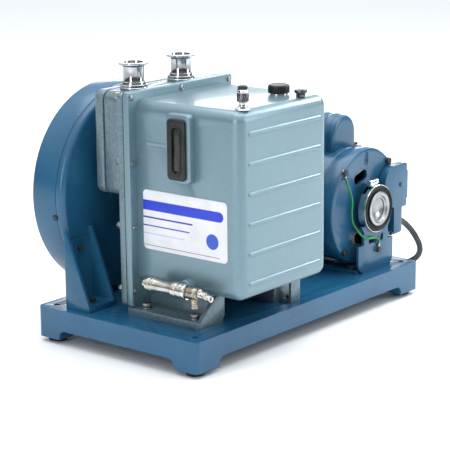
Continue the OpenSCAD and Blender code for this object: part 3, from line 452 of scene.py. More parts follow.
def dress(piece, name, body="machine", stands_for=(), edge=0.0, segments=2, angle=30):
    """Softens sharp edges, sets the finish and seats the piece on its body for its CAD nodes."""
    if edge:
        applied(piece, "BEVEL", width=edge * MM, segments=segments, limit_method="ANGLE",
                angle_limit=math.radians(angle), harden_normals=False)
    grab(piece)
    bpy.ops.object.shade_smooth_by_angle(angle=math.radians(angle))
    material, slot = FINISH[name]
    piece.data.materials.clear()
    piece.data.materials.append(material)
    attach(piece, body)
    if stands_for:
        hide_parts(*stands_for)
    return piece


def merged(node, name):
    """A copy of a CAD node whose triangles are merged into whole faces."""
    piece = copied(NODES[node], name)
    grab(piece)
    bpy.ops.mesh.customdata_custom_splitnormals_clear()
    bpy.ops.object.mode_set(mode="EDIT")
    bpy.ops.mesh.select_all(action="SELECT")
    bpy.ops.mesh.remove_doubles(threshold=1e-5)
    bpy.ops.mesh.dissolve_limited(angle_limit=math.radians(0.6))
    bpy.ops.object.mode_set(mode="OBJECT")
    return piece


def softened(node, name, finish_name, edge, body="machine", segments=2, angle=30):
    """A copy of a CAD node with rounded edges and a finish."""
    return dress(merged(node, name), finish_name, body, [node], edge, segments, angle)


def coat(node, name):
    """Gives a CAD node that stays its finish."""
    slots = NODES[node].data.materials
    slots.clear()
    slots.append(FINISH[name][0])

# ---------------------------------------------------------------- power cord

CORD_R = 4.5
EXIT = (535, 63, 93)
LEAD = [
    (546, 64, 91), (558, 65, 86), (570, 65, 78), (582, 64, 67), (592, 62, 54), (601, 62, 40),
    (608, 67, 27), (612, 79, 14.5), (612, 96, 6.5), (609, 114, 4.5), (602, 136, 4.5), (593, 160, 4.5),
    (583, 190, 4.5), (573, 220, 4.5), (561, 250, 4.5), (547, 278, 4.5), (530, 304, 4.5),
    (513, 327, 4.5), (500, 348, 4.5), (493, 372, 4.5),
]
COIL = (430, 372)
TAIL = [(412, 436, 11), (394, 437, 7), (380, 437, 4.8), (360, 437, 4.5)]


def eased(turns, start, end):
    """Smooth step from 0 at start to 1 at end, in turns."""
    t = min(1, max(0, (turns - start) / (end - start)))
    return t * t * (3 - 2 * t)


def coil_place(turns):
    """Where the lead lies in its coil: three turns inwards on the floor, then back out on top of them."""
    inward = eased(turns, 0.65, 1) + eased(turns, 1.65, 2)
    outward = eased(turns, 3, 3.3) + eased(turns, 4, 4.25)
    radius = 63 - 9 * inward + 9 * outward
    height = CORD_R + 9 * eased(turns, 2.3, 2.65)
    swing = 2 * math.pi * turns
    return (COIL[0] + radius * math.cos(swing), COIL[1] + radius * math.sin(swing), height)


def cord_line():
    """The cord's centre line: the lead to the coil, the coil's turns and the tail to the plug."""
    turns = [coil_place(k / 20) for k in range(1, 86)]
    return [EXIT, *LEAD, *turns, *TAIL]


line = [at(*p) for p in cord_line()]
curve = bpy.data.curves.new("power_cord", "CURVE")
curve.dimensions = "3D"
curve.bevel_depth = CORD_R * MM
curve.bevel_resolution = 5
curve.resolution_u = 5
curve.use_fill_caps = True
spline = curve.splines.new("BEZIER")
spline.bezier_points.add(len(line) - 1)
for knot, place in zip(spline.bezier_points, line):
    knot.co = place
    knot.handle_left_type = "AUTO"
    knot.handle_right_type = "AUTO"
cord = bpy.data.objects.new("power_cord_lead", curve)
bpy.context.scene.collection.objects.link(cord)
curve.materials.append(FINISH["cord_pvc"][0])
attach(cord, "machine")
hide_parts("power_cord", "cord_coil", "cord_tail")

# Strain relief and gland nut: a round nut and five flex grooves along the taper.
relief_steps = [(8, 511), (8, 517), (6.8, 517.2)]
for groove in range(5):
    start = 518.5 + groove * 3
    radius = 6.7 - 0.28 * groove
    relief_steps += [(radius, start), (radius - 0.9, start + 0.3), (radius - 0.95, start + 1.2),
                     (radius - 0.1, start + 1.5)]
relief_steps += [(5.2, 535)]
gland = dress(turned("cord_strain_relief", "X", (63, 93), relief_steps, 32), "black_moulding",
              stands_for=["cord_gland"], edge=0.25)

# Straight-blade plug: ribbed grip, sloped shoulders, two flat blades with holes and a round earth pin.
plug = block("plug_body", (323, 424, 0), (353, 450, 24))
rounded(plug, 5, runs("X"), 4)
choose(plug, "FACE", lambda m, n: n.x > 0.9)
bpy.ops.mesh.extrude_region_move(TRANSFORM_OT_translate={"value": (6 * MM, 0, 0)})
bpy.ops.transform.resize(value=(1, 0.62, 0.62), center_override=at(359, 437, 10))
bpy.ops.object.mode_set(mode="OBJECT")
rings = [turned("grip_rib", "X", (437, 7), [(5.2, 358 + 2.6 * k), (5.9, 358.6 + 2.6 * k),
         (5.9, 359.6 + 2.6 * k), (5.2, 360.2 + 2.6 * k)], 24) for k in range(3)]
joined(plug, *rings)
dress(plug, "black_moulding", stands_for=["power_plug"], edge=0.8)
for side in (-1, 1):
    blade_y = 437 + 6.35 * side
    blade = block("plug_blade", (303, blade_y - 0.75, 12), (323.5, blade_y + 0.75, 18))
    cut(blade, turned("blade_hole", "Y", (306.5, 15), [(1.6, blade_y - 2), (1.6, blade_y + 2)], 16))
    dress(blade, "nickel_plate", edge=0.3)
    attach(blade, "machine")
    blade.name = "plug_blade_left" if side < 0 else "plug_blade_right"
earth_pin = turned("plug_earth_pin", "X", (437, 5), [
    (1.2, 303), (2.2, 304.2), (2.4, 306), (2.4, 323.5),
], 24)
dress(earth_pin, "nickel_plate")

# Tie round the coil's turns.
tie = collar("coil_tie", "Y", (376, 9), [(13.8, 369), (13.8, 374), (14.6, 374), (14.6, 369)], 32)
grab(tie)
bpy.ops.object.mode_set(mode="EDIT")
bpy.ops.mesh.select_all(action="SELECT")
bpy.ops.transform.resize(value=(0.94, 1, 0.62), center_override=at(376, 371.5, 9))
bpy.ops.object.mode_set(mode="OBJECT")
dress(tie, "black_rubber", edge=0.2)

# ---------------------------------------------------------------- base and feet

base = merged("base_plate", "base_casting")


BLEND_R = 10  # radius of the blend between a leg and the skirt
CORNER = 8  # side of the block that squares a leg's corner
SKIRT_WALL = 5
LEG_FOOT_Z = 6.5
SKIRT_Z = 19.5
OVERLAP_Z = 0.3  # how far a blend reaches up into the skirt


def leg_blend(x, y, swing, wall, inner):
    """Squares the corner of a leg beside the skirt and blends the leg into the skirt's lower edge."""
    along_x = inner == "X"
    edge, outer = (x, y) if along_x else (y, x)
    past, back = edge + swing * BLEND_R, edge - swing * CORNER
    spans = [
        (min(back, edge), max(back, edge), CORNER * wall, LEG_FOOT_Z),
        (min(edge, past), max(edge, past), SKIRT_WALL * wall, SKIRT_Z - BLEND_R),
    ]
    made = []
    for start, end, depth, foot in spans:
        near, far = sorted((outer, outer + depth))
        top = SKIRT_Z + OVERLAP_Z
        low = (start, near, foot) if along_x else (near, start, foot)
        high = (end, far, top) if along_x else (far, end, top)
        made.append(block("leg_blend", low, high))
    axis = "Y" if along_x else "X"
    ends = [(BLEND_R, outer - 9), (BLEND_R, outer + 9)]
    cut(made[1], turned("blend_form", axis, (past, SKIRT_Z - BLEND_R), ends, 64))
    return made


blends = []
for x, swing_x in ((44, 1), (456, -1)):
    for y, wall in ((0, 1), (277, -1)):
        blends += leg_blend(x, y, swing_x, wall, "X")
for y, swing_y in ((38, 1), (239, -1)):
    for x, wall in ((0, 1), (500, -1)):
        blends += leg_blend(x, y, swing_y, wall, "Y")
for blend in blends:
    applied(base, "BOOLEAN", object=blend, operation="UNION", solver="EXACT")
    bpy.data.objects.remove(blend)
dress(base, "blue_base_enamel", stands_for=["base_plate"], edge=2.4, segments=4)
for number, (x, y) in enumerate([(x, y) for x in (18, 482) for y in (18, 259)]):
    foot = collar("rubber_foot_%d" % (number + 1), "Z", (x, y), [
        (4.5, 6.4), (4.5, 2), (7, 2), (7, 0.1), (11.4, 0.1), (12.2, 0.8), (13, 5.6), (12.6, 6.4),
    ], 32)
    dress(foot, "black_rubber", stands_for=["rubber_feet"] if number == 0 else [], edge=0.3)

# ---------------------------------------------------------------- oil case

# The casting is filled: it has the outside of the case but not the cavity that holds the pump.
case = block("oil_case_casting", (56, -26, 90), (239, 152, 330))
rounded(case, 14, lambda a, b: lies("Y", -26)(a, b) or runs("Y")(a, b), 9)
case_flange = block("case_flange", (43, 145, 57), (252, 154, 341))
rounded(case_flange, 5, runs("Y"), 5)
rounded(case_flange, 1.6, lies("Y", 145), 3)
boss = block("sight_boss", (46, 46.5, 233), (62, 86, 321))
rounded(boss, 7, runs("X"), 5)
rounded(boss, 2.6, lies("X", 46), 3)
plate = block("blank_pad", (55.2, 80, 270), (58, 128, 279))
rounded(plate, 1, runs("X"), 3)
rounded(plate, 0.5, lies("X", 55.2), 2)
pad_field = block("pad_field", (54.6, 84, 272), (55.6, 126, 277))
cut(plate, pad_field)
ring = collar("drain_boss_ring", "X", (60, 98), [
    (5.2, 47.8), (8.6, 47.8), (10, 49.2), (10, 53.5), (11.4, 56.2), (11.4, 58), (5.2, 58),
], 48)
ribs = []
for number in range(6):
    height = 111 + 38.2 * number
    rib = turned("case_rib", "X", (-24.6, height), [
        (0.7, 71), (2, 71.4), (2.9, 72.4), (3.3, 74), (3.4, 76), (3.4, 219), (3.3, 221),
        (2.9, 222.6), (2, 223.6), (0.7, 224),
    ], 24)
    ribs.append(rib)
slot = block("sight_slot", (44, 60.5, 247), (58, 72, 305))
rounded(slot, 5, runs("X"), 5)
cut(boss, slot)
slot = block("sight_slot", (44, 60.5, 247), (60.5, 72, 305))
rounded(slot, 5, runs("X"), 5)
cut(case, slot)
joined(case, case_flange, boss, plate, ring, *ribs)
dress(case, "silver_blue_case_enamel", stands_for=["oil_case"], edge=0.35)

backing = block("oil_behind_window", (57, 61.5, 248), (60, 71, 271))
rounded(backing, 4, lambda a, b: runs("X")(a, b) and a.z < 250, 4)
dress(backing, "oil_pool", edge=0.4)
# Black sheet behind the upper part of the window slot, above the oil: painted shade standing in for the
# dark inside of the case, so the lit case wall does not show through the slot.
painted_shade_sheet = block("window_painted_shade_sheet", (57.4, 61, 271.4), (59.6, 71.5, 304.4))
rounded(painted_shade_sheet, 4, lambda a, b: runs("X")(a, b) and a.z > 300, 4)
dress(painted_shade_sheet, "black_moulding", edge=0.3)

# Sight glass: moulded frame with a raised rim round the slot, and the window.
bezel = block("sight_glass_bezel", (42, 51.5, 237), (46, 81, 315))
rounded(bezel, 6, runs("X"), 6)
rounded(bezel, 1.6, lies("X", 42), 3)
slot = block("bezel_slot", (40, 60.5, 247), (48, 72, 305))
rounded(slot, 5.5, runs("X"), 6)
cut(bezel, slot)
slot_rim = block("slot_rim", (41.2, 57.8, 244.2), (43, 74.8, 307.8))
rounded(slot_rim, 8, runs("X"), 8)
opening = block("slot_rim_opening", (40, 60.3, 246.8), (45, 72.2, 305.2))
rounded(opening, 5.6, runs("X"), 6)
cut(slot_rim, opening)
joined(bezel, slot_rim)
dress(bezel, "black_moulding", stands_for=["sight_glass_frame"], edge=0.4)
window = block("sight_window", (43.6, 60.7, 247.2), (46.4, 71.8, 304.8))
rounded(window, 5, runs("X"), 6)
dress(window, "clear_acrylic", stands_for=["sight_glass_lens"], edge=0.3)

label = block("printed_label", (55.2, -5, 138), (56, 134, 216))
rounded(label, 6, runs("X"), 6)
dress(label, "printed_polyester", stands_for=["label_plate"], edge=0.15)

# ---------------------------------------------------------------- plates and port block

coat("body_gaskets", "black_rubber")
softened("body_plate", "body_plate_casting", "hammered_block_enamel", 1.2)
for name, near, far, node in (
    ("port_block_casting", 165, 202, "port_block"), ("port_block_lid", 204, 218, "block_cover"),
):
    piece = block(name, (58, near, 199.5), (237, far, 336))
    rounded(piece, 12, runs("Y"), 7)
    rounded(piece, 2.4, lambda a, b: lies("Y", 165)(a, b) or lies("Y", 202)(a, b)
            or lies("Y", 204)(a, b) or lies("Y", 218)(a, b), 3)
    if node == "port_block":
        cut(piece, turned("port_bore", "Z", (97, 183.5), [(10, 240), (10, 340)], 40),
            turned("port_bore", "Z", (191, 183.5), [(10, 240), (10, 340)], 40))
    dress(piece, "hammered_block_enamel", stands_for=[node], edge=0.3)

softened("pump_feet", "pump_foot_castings", "hammered_block_enamel", 1.6)
softened("case_support", "case_support_tab", "hammered_block_enamel", 0.8)

# ---------------------------------------------------------------- port flanges

for name, x, node in (
    ("intake_port_flange", 97, "intake_flange"), ("exhaust_port_flange", 191, "exhaust_flange"),
):
    flange = collar(name, "Z", (x, 183.5), [
        (12, 336), (18.4, 336), (18.4, 338.2), (17.6, 338.9), (17.6, 339.6), (18.4, 340.3),
        (18.4, 341.6),
        (15.6, 342.4), (15.6, 345.2), (14, 346), (14, 365.2), (14.5, 366), (19.7, 368), (20, 368.3),
        (20, 370.7), (19.7, 371), (13.1, 371), (13.1, 368), (12, 368),
    ], 72)
    dress(flange, "polished_stainless", stands_for=[node], edge=0.2)

# ---------------------------------------------------------------- fittings on the case


def hexagon(name, axis, centre, low, high, across, washer=0.0):
    """Hexagon head or nut with chamfered corners on both faces."""
    corner = across / math.sqrt(3)
    head = turned(name, axis, centre, [
        (corner * 0.9, low), (corner, low + 0.06 * across), (corner, high - 0.06 * across),
        (corner * 0.9, high),
    ], 6)
    if washer:
        disc = turned("washer", axis, centre, [(washer, low - 1.5), (washer, low)], 32)
        joined(head, disc)
    return head


ballast = turned("ballast_valve_body", "Z", (78, -13), [
    (8.6, 330), (9.3, 330.5), (9.3, 332.2), (8.2, 333), (6.2, 333.6), (5, 334.8), (4.6, 338),
    (4.9, 340),
    (3, 340), (3, 352),
], 48)
dress(ballast, "bright_chrome", stands_for=["ballast_valve"], edge=0.15)
knob = turned("ballast_knob_body", "Z", (78, -13), [
    (6.6, 340.3), (7.3, 341), (7.5, 342), (7.5, 349), (7.1, 349.8), (7.1, 350.4), (6.4, 351),
    (6.4, 355.4),
    (6.1, 356.2), (5.8, 356.2),
], 36)
choose(knob, "FACE", lambda m, n: 342 < m.z < 349 and abs(n.z) < 0.2
       and int(round(math.degrees(math.atan2(n.y, n.x)) / 10 + 0.5)) % 2 == 0)
bpy.ops.mesh.extrude_region_shrink_fatten(TRANSFORM_OT_shrink_fatten={"value": -0.45 * MM})
bpy.ops.object.mode_set(mode="OBJECT")
port = turned("ballast_air_hole", "X", (-13, 353.4), [(1.5, 70), (1.5, 74.5)], 20)
cut(knob, port)
dress(knob, "black_chrome", "ballast_knob", ["ballast_knob"], 0.2)
crown = collar("ballast_crown_band", "Z", (78, -13), [
    (6.5, 351.2), (6.9, 351.5), (6.9, 354.9), (6.5, 355.3),
], 48)
cut(crown, turned("ballast_band_hole", "X", (-13, 353.4), [(1.5, 68), (1.5, 77)], 20))
dress(crown, "bright_chrome", "ballast_knob")
tip = turned("ballast_knob_top", "Z", (78, -13), [
    (5.6, 356), (6, 356.4), (6, 359), (5.4, 360), (3.4, 360), (3, 359.5),
], 40)
dress(tip, "black_moulding", "ballast_knob", edge=0.2)

neck = collar("fill_neck_collar", "Z", (200, 25), [
    (7.2, 329), (11.5, 329), (11.5, 331.5), (11, 332), (7.2, 332),
], 40)
dress(neck, "turned_aluminium", stands_for=["fill_neck"], edge=0.2)
cap = turned("fill_cap_body", "Z", (200, 25), [
    (13.4, 332.1), (14, 332.6), (14.2, 333.4), (14.2, 339.8), (13.8, 341.6), (12.8, 342.6),
    (10.8, 342.9),
    (10.2, 342.4), (3, 342.3),
], 96)
choose(cap, "FACE", lambda m, n: 333.5 < m.z < 339.5 and abs(n.z) < 0.2
       and int(round(math.degrees(math.atan2(n.y, n.x)) / 3.75 + 0.5)) % 3 == 0)
bpy.ops.mesh.extrude_region_shrink_fatten(TRANSFORM_OT_shrink_fatten={"value": -0.5 * MM})
bpy.ops.object.mode_set(mode="OBJECT")
joined(cap, turned("fill_cap_spigot", "Z", (200, 25), [(6.4, 324), (6.9, 324.6), (6.9, 333)], 40))
dress(cap, "black_moulding", "fill_cap", ["fill_cap"], 0.25)

vent = hexagon("vent_plug_body", "Z", (199, -11), 330, 335, 11.4)
joined(vent, turned("vent_plug_head", "Z", (199, -11), [
    (6.2, 334.8), (7.7, 335.4), (8.3, 336.2), (8.3, 338.2), (7.7, 339.4), (6.2, 340), (3.8, 339.7),
    (3.2, 339.2),
], 40))
dress(vent, "black_chrome", stands_for=["vent_plug"], edge=0.2)

# ---------------------------------------------------------------- drain line

pipe = turned("drain_line_pipe", "Y", (36, 98), [
    (9, 50), (10.4, 50.6), (10.4, 57.4), (9.8, 58), (9.8, 59), (10.4, 59.6), (10.4, 66.4), (9.8, 67.4),
    (8.8, 68),
    (8.8, 97.4), (9.6, 98), (10.4, 98.6), (10.4, 102), (9.8, 102.5), (9.8, 103.3), (10.4, 103.8),
    (10.4, 108.8),
    (9.4, 110), (6.4, 110.2), (5.2, 111), (5.2, 112.4), (5.9, 113), (5.9, 116.2), (5, 117.6),
], 56)
branch = turned("drain_branch", "X", (60, 98), [
    (6.8, 36), (6.8, 43), (8, 43.6), (8, 46.8), (7.2, 47.4), (4.8, 47.6), (4.8, 56),
], 40)
joined(pipe, branch)
dress(pipe, "nickel_plate", stands_for=["drain_pipe"], edge=0.25)

valve = turned("drain_valve_body", "Y", (36, 98), [
    (6.6, 26), (7.6, 26.8), (7.6, 30), (8.2, 31), (8.2, 42), (7.4, 43), (7.4, 44.4),
], 40)
for low, high in ((28.5, 32), (37, 43)):
    joined(valve, hexagon("valve_flats", "Y", (36, 98), low, high, 14.4))
spout = collar("drain_spout", "Z", (36, 34), [
    (3, 78), (4.4, 78), (5, 79), (5, 81), (4.4, 82), (5, 84), (4.4, 85), (5, 87), (4.4, 88), (4.4, 96),
    (3, 96),
], 32)
joined(valve, spout)
dress(valve, "dull_brass", stands_for=["drain_valve"], edge=0.3)
nut = collar("drain_union_ring", "Y", (36, 98), [
    (7.6, 44.2), (10.2, 44.2), (10.7, 44.8), (10.7, 49.2), (10.2, 49.8), (7.6, 49.8),
], 56)
dress(nut, "bright_chrome", edge=0.2)

handle = block("drain_handle_lever", (20, 13.2, 93.5), (52, 17.8, 102.5))
rounded(handle, 4.2, runs("Y"), 6)
rounded(handle, 1.2, lambda a, b: lies("Y", 13.2)(a, b) or lies("Y", 17.8)(a, b), 3)
cut(handle, turned("lever_hole", "Y", (45.5, 98), [(2.3, 10), (2.3, 20)], 24))
choose(handle, "VERT", lambda p: 24 < p.x < 32)
bpy.ops.transform.resize(value=(1, 0.9, 0.72), center_override=at(28, 15.5, 98))
bpy.ops.object.mode_set(mode="OBJECT")
handle.data.transform(
    Matrix.Translation(at(36, 0, 98))
    @ Matrix.Rotation(math.radians(35), 4, "Y")
    @ Matrix.Translation(-at(36, 0, 98))
)
stem = turned("lever_stem", "Y", (36, 98), [
    (2.6, 12.2), (2.95, 12.6), (2.95, 13), (5.2, 13.6), (5.5, 14.4), (5.5, 25), (5, 25.7),
    (2.95, 25.7), (2.95, 31),
], 32)
joined(handle, stem)
dress(handle, "nickel_plate", "drain_handle", ["drain_handle"], 0.25)

# ---------------------------------------------------------------- fasteners

for number, (x, y) in enumerate([(x, y) for x in (56, 239) for y in (50, 132)]):
    bolt = hexagon("foot_bolt_%d" % (number + 1), "Z", (x, y), 58.5, 64, 10.4, 7)
    joined(bolt, turned("bolt_shank", "Z", (x, y), [(2.6, 43.4), (3.1, 44), (3.1, 58)], 24))
    dress(bolt, "zinc_plate", stands_for=["foot_bolts"] if number == 0 else [], edge=0.25)
softened("body_fasteners", "case_screws_and_nuts", "zinc_plate", 0.45)
softened("motor_fasteners", "motor_screws", "dark_screw_oxide", 0.45)
softened("guard_screws", "guard_rim_screws", "dark_screw_oxide", 0.4)

# ---------------------------------------------------------------- belt guard

PUMP_END = (152, 191)
MOTOR_END = (426, 137)


def loop_disc(name, y, ends, radii, sides=144):
    """Flat disc round two circles: the big circle's far side is scaled and moved to the small one."""
    bare()
    bpy.ops.mesh.primitive_circle_add(
        vertices=sides, radius=radii[0] * MM, fill_type="NGON",
        location=on_axis("Y", ends[0], y), rotation=TURN["Y"],
    )
    piece = settled(name)
    span = Vector((ends[1][0] - ends[0][0], 0, ends[1][1] - ends[0][1]))
    limit = (radii[0] - radii[1]) / span.length * radii[0]
    heading = span.normalized()
    middle = Vector((ends[0][0], y, ends[0][1]))
    choose(piece, "VERT", lambda p: (p - middle).dot(heading) > limit)
    shrink = radii[1] / radii[0]
    bpy.ops.transform.resize(value=(shrink, shrink, shrink), center_override=on_axis("Y", ends[0], y))
    bpy.ops.transform.translate(value=span * MM)
    bpy.ops.object.mode_set(mode="OBJECT")
    return piece


def drawn_half(name, face_y, open_y, edge_radius):
    """Half of the guard: a sheet drawn over a form, with a large rounded edge and an open side."""
    piece = loop_disc(name, face_y, (PUMP_END, MOTOR_END), (141, 56))
    grab(piece)
    bpy.ops.object.mode_set(mode="EDIT")
    bpy.ops.mesh.select_all(action="SELECT")
    bpy.ops.mesh.extrude_region_move(TRANSFORM_OT_translate={"value": (0, (open_y - face_y) * MM, 0)})
    bpy.ops.mesh.select_all(action="SELECT")
    bpy.ops.mesh.normals_make_consistent(inside=False)
    bpy.ops.object.mode_set(mode="OBJECT")
    rounded(piece, edge_radius, lies("Y", face_y), 6)
    choose(piece, "FACE", lambda m, n: abs(m.y - open_y) < 0.01)
    bpy.ops.mesh.delete(type="FACE")
    bpy.ops.object.mode_set(mode="OBJECT")
    return applied(piece, "SOLIDIFY", thickness=1.5 * MM, offset=-1)


guard_front = drawn_half("belt_guard_back_half", 236, 247.6, 8)
cut(
    guard_front,
    turned("shaft_opening", "Y", (152, 182), [(14, 230), (14, 240)], 48),
    turned("shaft_opening", "Y", (426, 137), [(14, 230), (14, 240)], 48),
)
seam_lip = loop_disc("seam_lip", 244, (PUMP_END, MOTOR_END), (139.3, 54.3))
grab(seam_lip)
bpy.ops.object.mode_set(mode="EDIT")
bpy.ops.mesh.select_all(action="SELECT")
bpy.ops.mesh.delete(type="ONLY_FACE")
bpy.ops.mesh.select_all(action="SELECT")
bpy.ops.mesh.extrude_edges_move(TRANSFORM_OT_translate={"value": (0, 10 * MM, 0)})
bpy.ops.mesh.select_all(action="SELECT")
bpy.ops.mesh.normals_make_consistent(inside=False)
bpy.ops.object.mode_set(mode="OBJECT")
applied(seam_lip, "SOLIDIFY", thickness=1.2 * MM, offset=-1)
joined(guard_front, seam_lip)
dress(guard_front, "blue_machine_enamel", stands_for=["guard_back"], edge=0.4)
guard_rear = drawn_half("belt_guard_outer_half", 293, 248.4, 5)
dress(guard_rear, "blue_machine_enamel", stands_for=["guard_cover"], edge=0.4)
softened("guard_bracket", "guard_bracket_plates", "blue_machine_enamel", 1.2)

# ---------------------------------------------------------------- motor

MOTOR = (426, 137)
shell = collar("motor_shell_tube", "Y", MOTOR, [
    (79.5, 66), (81.4, 66), (82, 66.6), (82, 69), (81.4, 69.6), (81.4, 71), (82, 71.6), (82, 181),
    (81.4, 181.6), (81.4, 183), (82, 183.6), (82, 185.4), (81.4, 186), (79.5, 186),
], 128)
dress(shell, "blue_machine_enamel", stands_for=["motor_shell"], edge=0.3)

bell = collar("front_end_bell", "Y", MOTOR, [
    (16, 21), (21.4, 21), (22, 21.6), (22, 40.6), (23.6, 42), (36, 42.4), (74, 42.6), (79.4, 42),
    (82.6, 43),
    (84, 45.6), (84, 64), (83.2, 66), (76, 66), (76, 47), (26, 47), (26, 64), (20, 64), (20, 36),
    (16, 36),
], 128)
for angle in (20, 107, 255, 290):
    vent_slot = block("vent_slot", (465, 38, 121), (480, 52, 153))
    rounded(vent_slot, 6.6, runs("Y"), 6)
    middle = on_axis("Y", MOTOR, 45)
    vent_slot.data.transform(
        Matrix.Translation(middle)
        @ Matrix.Rotation(-math.radians(angle), 4, "Y")
        @ Matrix.Translation(-middle)
    )
    cut(bell, vent_slot)
bare()
bpy.ops.mesh.primitive_uv_sphere_add(
    segments=24, ring_count=12, radius=1, location=at(426, 41.2, 206), scale=(6 * MM, 5 * MM, 11 * MM)
)
cut(bell, settled("dimple_form"))
dress(bell, "blue_machine_enamel", stands_for=["front_endbell"], edge=0.3)
softened("rear_endbell", "rear_end_bell", "blue_machine_enamel", 1.6)

for name, near in (("front", 18), ("rear", 208)):
    ring = collar(name + "_resilient_ring", "Y", MOTOR, [
        (22, near + 3.4), (27.4, near + 3.4), (28.4, near + 2.6), (30.2, near + 1.6),
        (30.8, near + 0.3), (32.4, near + 0.3), (33, near + 1.2), (33, near + 16.6), (22, near + 16.6),
    ], 96)
    dress(ring, "black_rubber", stands_for=["resilient_rings"] if name == "front" else [], edge=0.2)
    band = collar(name + "_clamp_band", "Y", MOTOR, [
        (33, near + 2), (33.9, near + 2), (34.2, near + 2.3), (34.2, near + 13.7), (33.9, near + 14),
        (33, near + 14),
    ], 96)
    worm = turned("clamp_worm_housing", "X", (near + 8, 175.3), [
        (3.2, 410), (3.9, 410.5), (3.9, 423.4), (3.4, 424), (2.2, 424.4), (2.2, 425.4), (3.6, 425.6),
        (3.8, 426.4),
        (3.8, 429.4), (3.3, 430),
    ], 32)
    saddle = block("clamp_saddle", (411, near + 4.2, 170.4), (423, near + 11.8, 175.6))
    rounded(saddle, 1, lambda a, b: runs("X")(a, b), 3)
    slot = block("worm_slot", (429, near + 4, 174.7), (431, near + 12, 175.9))
    cut(worm, slot)
    joined(band, worm, saddle)
    dress(band, "bright_chrome", stands_for=["ring_clamps"] if name == "front" else [], edge=0.2)

hub_cap = turned("shaft_end_cap", "Y", MOTOR, [
    (15.8, 34), (15.8, 20.8), (21.7, 20.6), (24, 19.6), (24.6, 18.6), (24.2, 17.9), (22.6, 17.6),
    (20, 17.8),
    (19, 18.4), (18, 20.6), (16, 23.4), (12, 25.8), (7, 27), (2, 27.4),
], 72)
dress(hub_cap, "ground_steel", edge=0.15)

# Capacitor cover: drawn tunnel with rounded swellings across it and a flat nose with a rolled edge.
wave = [(20, 80.2), (25, 80.4), (27.6, 81.8), (28.8, 84.4), (29, 88)]
for step in range(40):
    y = 90 + step * 2
    wave.append((28.6 + 1.3 * math.sin(2 * math.pi * (y - 93) / 16), y))
wave += [(28.2, 172), (26.6, 176.6), (24, 179), (20, 179.8)]
hood = turned("capacitor_hood", "Y", (426, 236), wave, 64)
grab(hood)
bpy.ops.object.mode_set(mode="EDIT")
bpy.ops.mesh.select_all(action="SELECT")
bpy.ops.mesh.bisect(plane_co=at(426, 130, 236), plane_no=(0, 0, 1), clear_inner=True)
bpy.ops.object.mode_set(mode="OBJECT")
choose(hood, "EDGE", lies("Z", 236))
bpy.ops.mesh.extrude_edges_move(TRANSFORM_OT_translate={"value": (0, 0, -25 * MM)})
bpy.ops.mesh.select_all(action="SELECT")
bpy.ops.mesh.normals_make_consistent(inside=False)
bpy.ops.object.mode_set(mode="OBJECT")
applied(hood, "SOLIDIFY", thickness=1.4 * MM, offset=-1)
tab = block("hood_tab", (452, 78, 206), (466, 92, 216))
rounded(tab, 3, runs("Y"), 4)
skirt = block("hood_foot", (394, 84, 205), (458, 178, 214))
rounded(skirt, 3, lambda a, b: lies("Z", 213.5)(a, b), 4)
cut(skirt, turned("shell_form", "Y", MOTOR, [(81.8, 80), (81.8, 190)], 96))
dress(skirt, "blue_machine_enamel", edge=0.3)
dress(hood, "blue_machine_enamel", stands_for=["capacitor_cover"], edge=0.3)
hood_screw = hexagon("hood_screw", "Z", (460, 85), 217, 220, 7)
dress(hood_screw, "dark_screw_oxide", edge=0.3)
dress(tab, "blue_machine_enamel", edge=0.3)



def box_form(name, near, far, left, right, low, high, tail_low):
    """Terminal compartment outline: swept left side, square right side and a tongue below."""
    piece = block(name, (left, near, low), (right, far, high))
    rounded(piece, 26, lambda a, b: runs("Y")(a, b) and a.x < left + 1 and a.z > high - 1, 12)
    rounded(piece, 34, lambda a, b: runs("Y")(a, b) and a.x < left + 1 and a.z < low + 1, 12)
    rounded(piece, 3, lambda a, b: runs("Y")(a, b) and a.x > right - 0.1 and b.x > right - 0.1, 3)
    tongue = block(name + "_tongue", (478.5, near, tail_low), (499, far, low + 12))
    rounded(tongue, 5, lambda a, b: runs("Y")(a, b) and a.z < tail_low + 1, 5)
    applied(piece, "BOOLEAN", object=tongue, operation="UNION", solver="EXACT")
    bpy.data.objects.remove(tongue)
    return piece


# The compartment is filled too.
compartment = box_form("terminal_compartment", 31.6, 41.6, 456, 510.6, 126, 188.5, 89)
shoulder = block("terminal_shoulder", (466, 41, 82), (511, 71.8, 186.5))
rounded(shoulder, 6, runs("Y"), 5)
cut(shoulder, turned("bell_form", "Y", MOTOR, [(84.2, 40), (84.2, 74)], 128))
joined(compartment, shoulder)
dress(compartment, "blue_machine_enamel", stands_for=["terminal_box"], edge=0.6, segments=3)
lid = box_form("terminal_compartment_cover", 28.6, 31.4, 455, 511, 125, 189, 88)
side_plate = block("cover_side_plate", (511.2, 28.8, 136.5), (513.8, 67.6, 177.5))
rounded(side_plate, 5, lambda a, b: runs("X")(a, b) and a.y > 60, 5)
joined(lid, side_plate, turned("cover_screw", "Y", (496, 159), [
    (2.6, 26.2), (3.4, 26.5), (3.7, 27.2), (3.7, 28.8),
], 32))
dress(lid, "blue_machine_enamel", stands_for=["terminal_cover"], edge=0.9, segments=3)
softened("motor_cradle", "motor_cradle_plates", "blue_machine_enamel", 1.4, segments=3)

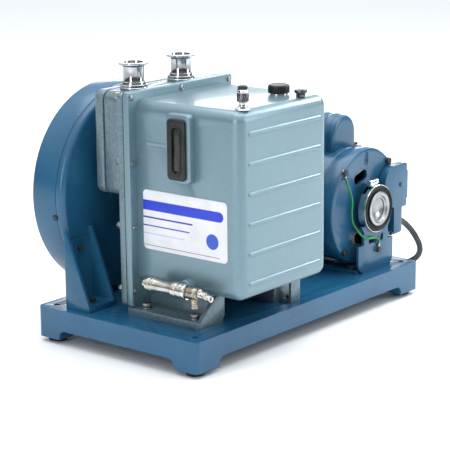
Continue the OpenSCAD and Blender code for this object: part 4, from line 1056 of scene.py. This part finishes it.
# Green earth lead with a crimped ring terminal at each end.
LEAD_ROUTE = [
    (372, 40, 189), (371, 36, 181), (373, 33, 171), (375, 30, 154), (371, 28, 139), (371, 26, 126),
    (377, 23, 115), (386, 21, 105), (398, 19, 99), (411, 18.5, 97.5), (421, 19, 95), (427, 20, 90),
    (430, 22, 84),
]
curve = bpy.data.curves.new("earth_lead", "CURVE")
curve.dimensions = "3D"
curve.bevel_depth = 1.5 * MM
curve.bevel_resolution = 4
curve.resolution_u = 6
curve.use_fill_caps = True
spline = curve.splines.new("BEZIER")
spline.bezier_points.add(len(LEAD_ROUTE) - 1)
for knot, place in zip(spline.bezier_points, LEAD_ROUTE):
    knot.co = at(*place)
    knot.handle_left_type = "AUTO"
    knot.handle_right_type = "AUTO"
earth_lead = bpy.data.objects.new("earth_lead", curve)
bpy.context.scene.collection.objects.link(earth_lead)
curve.materials.append(FINISH["green_pvc"][0])
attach(earth_lead, "machine")
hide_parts("ground_wire")
for name, x, y, z, eye, low, high in (
    ("upper", 372, 42, 195, 4.8, 184.6, 190), ("lower", 430, 24, 76, 4.2, 81, 86.4),
):
    terminal = collar(name + "_ring_terminal", "Y", (x, z), [
        (2.2, y - 1), (eye, y - 1), (eye, y - 0.1), (2.2, y - 0.1),
    ], 32)
    barrel = turned("crimp_barrel", "Z", (x, y - 2), [
        (1.9, low), (2.05, low + 0.4), (2.05, low + 1.6), (1.75, low + 2.2), (1.75, high - 2.2),
        (2.05, high - 1.6),
        (2.05, high - 0.4), (1.9, high),
    ], 24)
    joined(terminal, barrel)
    dress(terminal, "nickel_plate", edge=0.15)

# ---------------------------------------------------------------- inner parts that stay as they are

for node in ("stage_1_stator", "stage_2_stator", "stage_plates"):
    coat(node, "cast_iron_skin")
for node in ("exhaust_valves", "pump_shaft", "pump_rotors", "motor_shaft", "motor_bearings"):
    coat(node, "ground_steel")
coat("shaft_seal", "black_rubber")
coat("vanes", "phenolic_laminate")
coat("pump_pulley", "cast_iron_skin")
coat("motor_pulley", "cast_iron_skin")
coat("drive_belt", "black_rubber")
coat("motor_stator", "varnished_copper")
coat("motor_rotor", "turned_aluminium")
coat("capacitor", "black_moulding")

# ---------------------------------------------------------------- floor

bare()
bpy.ops.mesh.primitive_plane_add(size=40, location=(0, 0, -0.0002))
floor = settled("studio_floor")
material = bpy.data.materials.new("matt_studio_paper")
material.use_nodes = True
paper = material.node_tree.nodes["Principled BSDF"]
paper.inputs["Roughness"].default_value = 0.9
paper.inputs["Base Color"].default_value = colour("#f0f1f2")
floor.data.materials.append(material)
